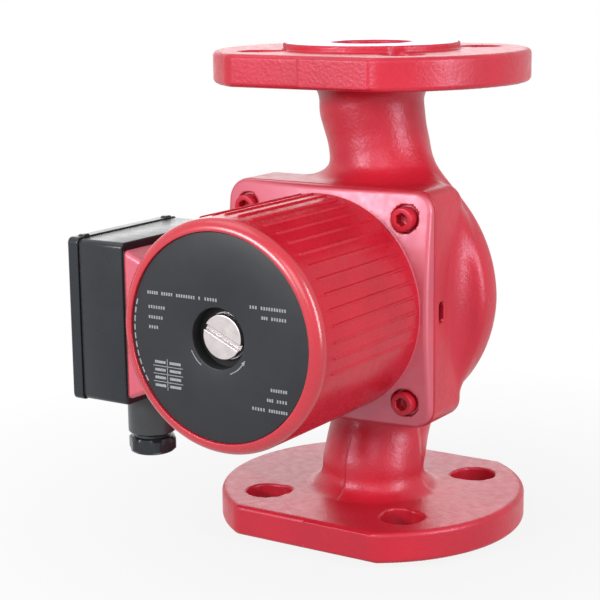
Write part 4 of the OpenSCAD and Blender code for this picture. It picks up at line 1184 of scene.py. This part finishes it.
def add_knob():
    """The speed knob: a fluted disc on its spindle, a grip bar across it and a pointer line on the bar."""
    flutes = 24
    per_flute = 8
    half_flute = 0.25
    edge = 1.0
    spindle_chamfer = 0.4
    count = flutes * per_flute
    angle = full_turn(count)[None, :]
    disc = np.concatenate([
        [(SPINDLE_END, SPINDLE_R - spindle_chamfer), (SPINDLE_END + spindle_chamfer, SPINDLE_R)],
        [(KNOB_BACK, SPINDLE_R), (KNOB_BACK, KNOB_R)],
        arc(KNOB_FRONT - edge, KNOB_R - edge, edge, 0, 90, 6),
    ])
    rim = disc[:, 1:] > KNOB_R - 0.7
    lift = -half_flute * (1 + np.cos(flutes * angle)) * rim
    grip_foot = [(KNOB_FRONT - 0.5, 0.0), (GRIP_FRONT - 0.8, 0.0)]
    grip_edge = [(GRIP_FRONT - 0.25, 0.25), (GRIP_FRONT, 0.8)]
    grip = np.array(grip_foot + grip_edge)
    u, v = rounded_outline(GRIP_HALF_WIDTH, KNOB_R - 2.0, 1.2, grip[:, 1])
    grip_bar = loft(carried(u, v, grip[:, :1], KNOB_AXES))
    shape = joined([turned(disc, KNOB_AXES, count, False, lift), grip_bar])
    add_piece("knob", shape, "knob_body", KNOB_BLACK, ["speed_knob"])
    half, inset = 0.5, 3.0
    pointer = ribbon([(-half, inset), (-half, KNOB_R - inset)], [(half, inset), (half, KNOB_R - inset)],
                     GRIP_FRONT - 0.02, GRIP_FRONT + 0.04, KNOB_AXES)
    add_piece("knob_pointer", pointer, "knob_body", PRINT)


# Cable gland

def add_gland_body():
    """The gland body: a turned collar with a threaded end, hollow for the cable and its seal."""
    thread_depth, top_edge, bottom_edge = 0.45, 0.5, 0.8
    levels = np.arange(GLAND_COLLAR + 0.4, GLAND_END - 0.3, THREAD_PITCH / 2)
    thread = [(level, GLAND_THREAD_R - thread_depth * (k % 2)) for k, level in enumerate(levels)]
    profile = np.concatenate([
        [(GLAND_STUB_TOP, GLAND_STUB_R), (0.0, GLAND_STUB_R), (0.0, GLAND_R - top_edge)],
        arc(top_edge, GLAND_R - top_edge, top_edge, -90, 0, 4),
        arc(GLAND_COLLAR - bottom_edge, GLAND_R - bottom_edge, bottom_edge, 0, 90, 5),
        [(GLAND_COLLAR, GLAND_THREAD_R - thread_depth)], thread, [(GLAND_END, GLAND_THREAD_R - 0.6)],
        [(GLAND_END, GLAND_SEAL_R), (GLAND_SEAL_TOP, GLAND_SEAL_R), (GLAND_SEAL_TOP, GLAND_BORE_R),
         (GLAND_STUB_TOP, GLAND_BORE_R)],
    ])
    collar = turned(profile, GLAND_AXES)
    add_piece("gland_collar", collar, "pump_body", GLAND_GREY, ["gland_body"])


def add_gland_nut():
    """The gland nut: a hexagon inside chamfer cones at both ends, bored for the thread and the cable."""
    count = 144
    cable_r = 5.6
    cable_chamfer = 0.6
    bore_r = GLAND_THREAD_R + 0.2
    blunt = 0.5
    angle = full_turn(count)[None, :]
    corner = NUT_HALF_WIDTH / math.cos(math.pi / 6)
    top = [(NUT_TOP, NUT_HALF_WIDTH - 0.6), (NUT_TOP + 0.3, NUT_HALF_WIDTH), (NUT_TOP + 1.2, corner)]
    bottom = [(NUT_BOTTOM - 1.6, corner), (NUT_BOTTOM - 0.5, NUT_HALF_WIDTH - 0.1),
              (NUT_BOTTOM, NUT_HALF_WIDTH - 1.0)]
    outside = np.array(top + bottom)
    cable_hole = [(NUT_BOTTOM, cable_r + cable_chamfer), (NUT_BOTTOM - 0.4, cable_r), (NUT_FLOOR, cable_r)]
    inside = np.array(cable_hole + [(NUT_FLOOR, bore_r), (NUT_TOP, bore_r)])
    flats = hexagon(angle - math.radians(NUT_TURN), NUT_HALF_WIDTH)
    outer_r = np.minimum(outside[:, 1:], np.minimum(flats, corner - blunt))
    radius = np.concatenate([outer_r, inside[:, 1:] + 0 * angle])
    level = np.concatenate([outside[:, :1], inside[:, :1]])
    shape = loft(carried(radius * np.cos(angle), radius * np.sin(angle), level, GLAND_AXES), True)
    add_piece("gland_nut_hex", shape, "gland_nut_body", BOX_BLACK, ["gland_nut"], crease=25.0)


# Camera, light and floor

CAMERA_AZIMUTH = 32.80
CAMERA_PITCH = 11.83
CAMERA_ROLL = -0.641
CAMERA_ASIDE = -32.817
CAMERA_UP = 103.991
CAMERA_DISTANCE = 741.2
SENSOR_WIDTH = 36.0
LENS = 97.68


def place_camera():
    """A long lens to the right of the motor, a little above it."""
    azimuth, pitch, roll = (math.radians(a) for a in (CAMERA_AZIMUTH, CAMERA_PITCH, CAMERA_ROLL))
    right = Vector((math.cos(azimuth), math.sin(azimuth), 0))
    level = math.cos(pitch)
    back = Vector((math.sin(azimuth) * level, -math.cos(azimuth) * level, math.sin(pitch)))
    up = back.cross(right)
    target = right * CAMERA_ASIDE + Vector((0, 0, CAMERA_UP))
    turned_right = right * math.cos(roll) + up * math.sin(roll)
    turned_up = up * math.cos(roll) - right * math.sin(roll)
    pose = Matrix((turned_right, turned_up, back)).transposed().to_4x4()
    pose.translation = (target + back * CAMERA_DISTANCE) * MM
    data = bpy.data.cameras.new("camera")
    data.sensor_width = SENSOR_WIDTH
    data.lens = LENS
    data.clip_start = 0.01
    camera = bpy.data.objects.new("camera", data)
    camera.matrix_world = pose
    bpy.context.collection.objects.link(camera)
    bpy.context.scene.camera = camera


def add_light(name, place, width, height, power):
    """A soft light at a place in metres, turned to the middle of the pump."""
    aim = Vector((0, -0.04, 0.1))
    data = bpy.data.lights.new(name, "AREA")
    data.shape = "RECTANGLE"
    data.size = width
    data.size_y = height
    data.energy = power
    light = bpy.data.objects.new(name, data)
    light.location = place
    light.rotation_euler = (aim - Vector(place)).to_track_quat("-Z", "Y").to_euler()
    bpy.context.collection.objects.link(light)


def light_room():
    """White surroundings for the camera and reflections, a dim fill for the rest, and five soft lights."""
    world = bpy.data.worlds.new("room")
    bpy.context.scene.world = world
    nodes = Nodes(world)
    strength = nodes.seen_by("Camera", "Glossy", "Transmission").spread(0.0, 1.0, ROOM_FILL, 1.0)
    light = nodes.node("ShaderNodeBackground", {}, {"Color": (1, 1, 1, 1), "Strength": strength})
    nodes.node("ShaderNodeOutputWorld", {}, {"Surface": light})
    add_light("top_light", place=(-0.4, -0.3, 1.15), width=0.7, height=0.7, power=2.4)
    add_light("key_light", place=(0.5, -1.1, 0.75), width=0.6, height=0.6, power=4.0)
    add_light("front_light", place=(-0.34, -1.1, 0.42), width=0.55, height=0.2, power=9.0)
    add_light("right_light", place=(1.08, -0.12, 0.44), width=0.16, height=0.8, power=8.5)
    add_light("back_light", place=(-0.75, 1.1, 0.45), width=0.8, height=0.8, power=2.8)
    bpy.context.scene.view_settings.view_transform = "Standard"


def add_floor():
    """A pale floor under the lower sealing face; it keeps the shadow and turns white further out."""
    half = 3.0
    near = 0.08
    far = 0.3
    near_white = 0.88
    mesh = bpy.data.meshes.new("floor")
    corners = [(-half, -half, 0), (half, -half, 0), (half, half, 0), (-half, half, 0)]
    mesh.from_pydata(corners, [], [(0, 1, 2, 3)])
    floor = bpy.data.objects.new("floor", mesh)
    bpy.context.collection.objects.link(floor)
    material = bpy.data.materials.new("floor_pale")
    nodes = Nodes(material)
    x, y, _ = nodes.along_axes()
    away = (x * x + y * y).root().spread(near, far, near_white, 1.0)
    shown_white = nodes.seen_by("Camera", "Glossy", "Transmission") * away
    pale = nodes.node("ShaderNodeBsdfDiffuse", {}, {"Color": (0.4, 0.4, 0.4, 1)})
    white = nodes.node("ShaderNodeEmission", {}, {"Color": (1, 1, 1, 1), "Strength": 1.0})
    mixed = nodes.node("ShaderNodeMixShader", {}, {0: shown_white, 1: pale, 2: white})
    nodes.node("ShaderNodeOutputMaterial", {}, {"Surface": mixed})
    mesh.materials.append(material)


place_camera()
light_room()
add_floor()
finish_nodes()
add_pump_casting()
add_motor_casting()
add_motor_barrel()
add_motor_screws()
add_label()
add_label_print()
add_vent_plug()
add_box_base()
add_cover()
add_speed_scale()
add_knob()
add_gland_body()
add_gland_nut()
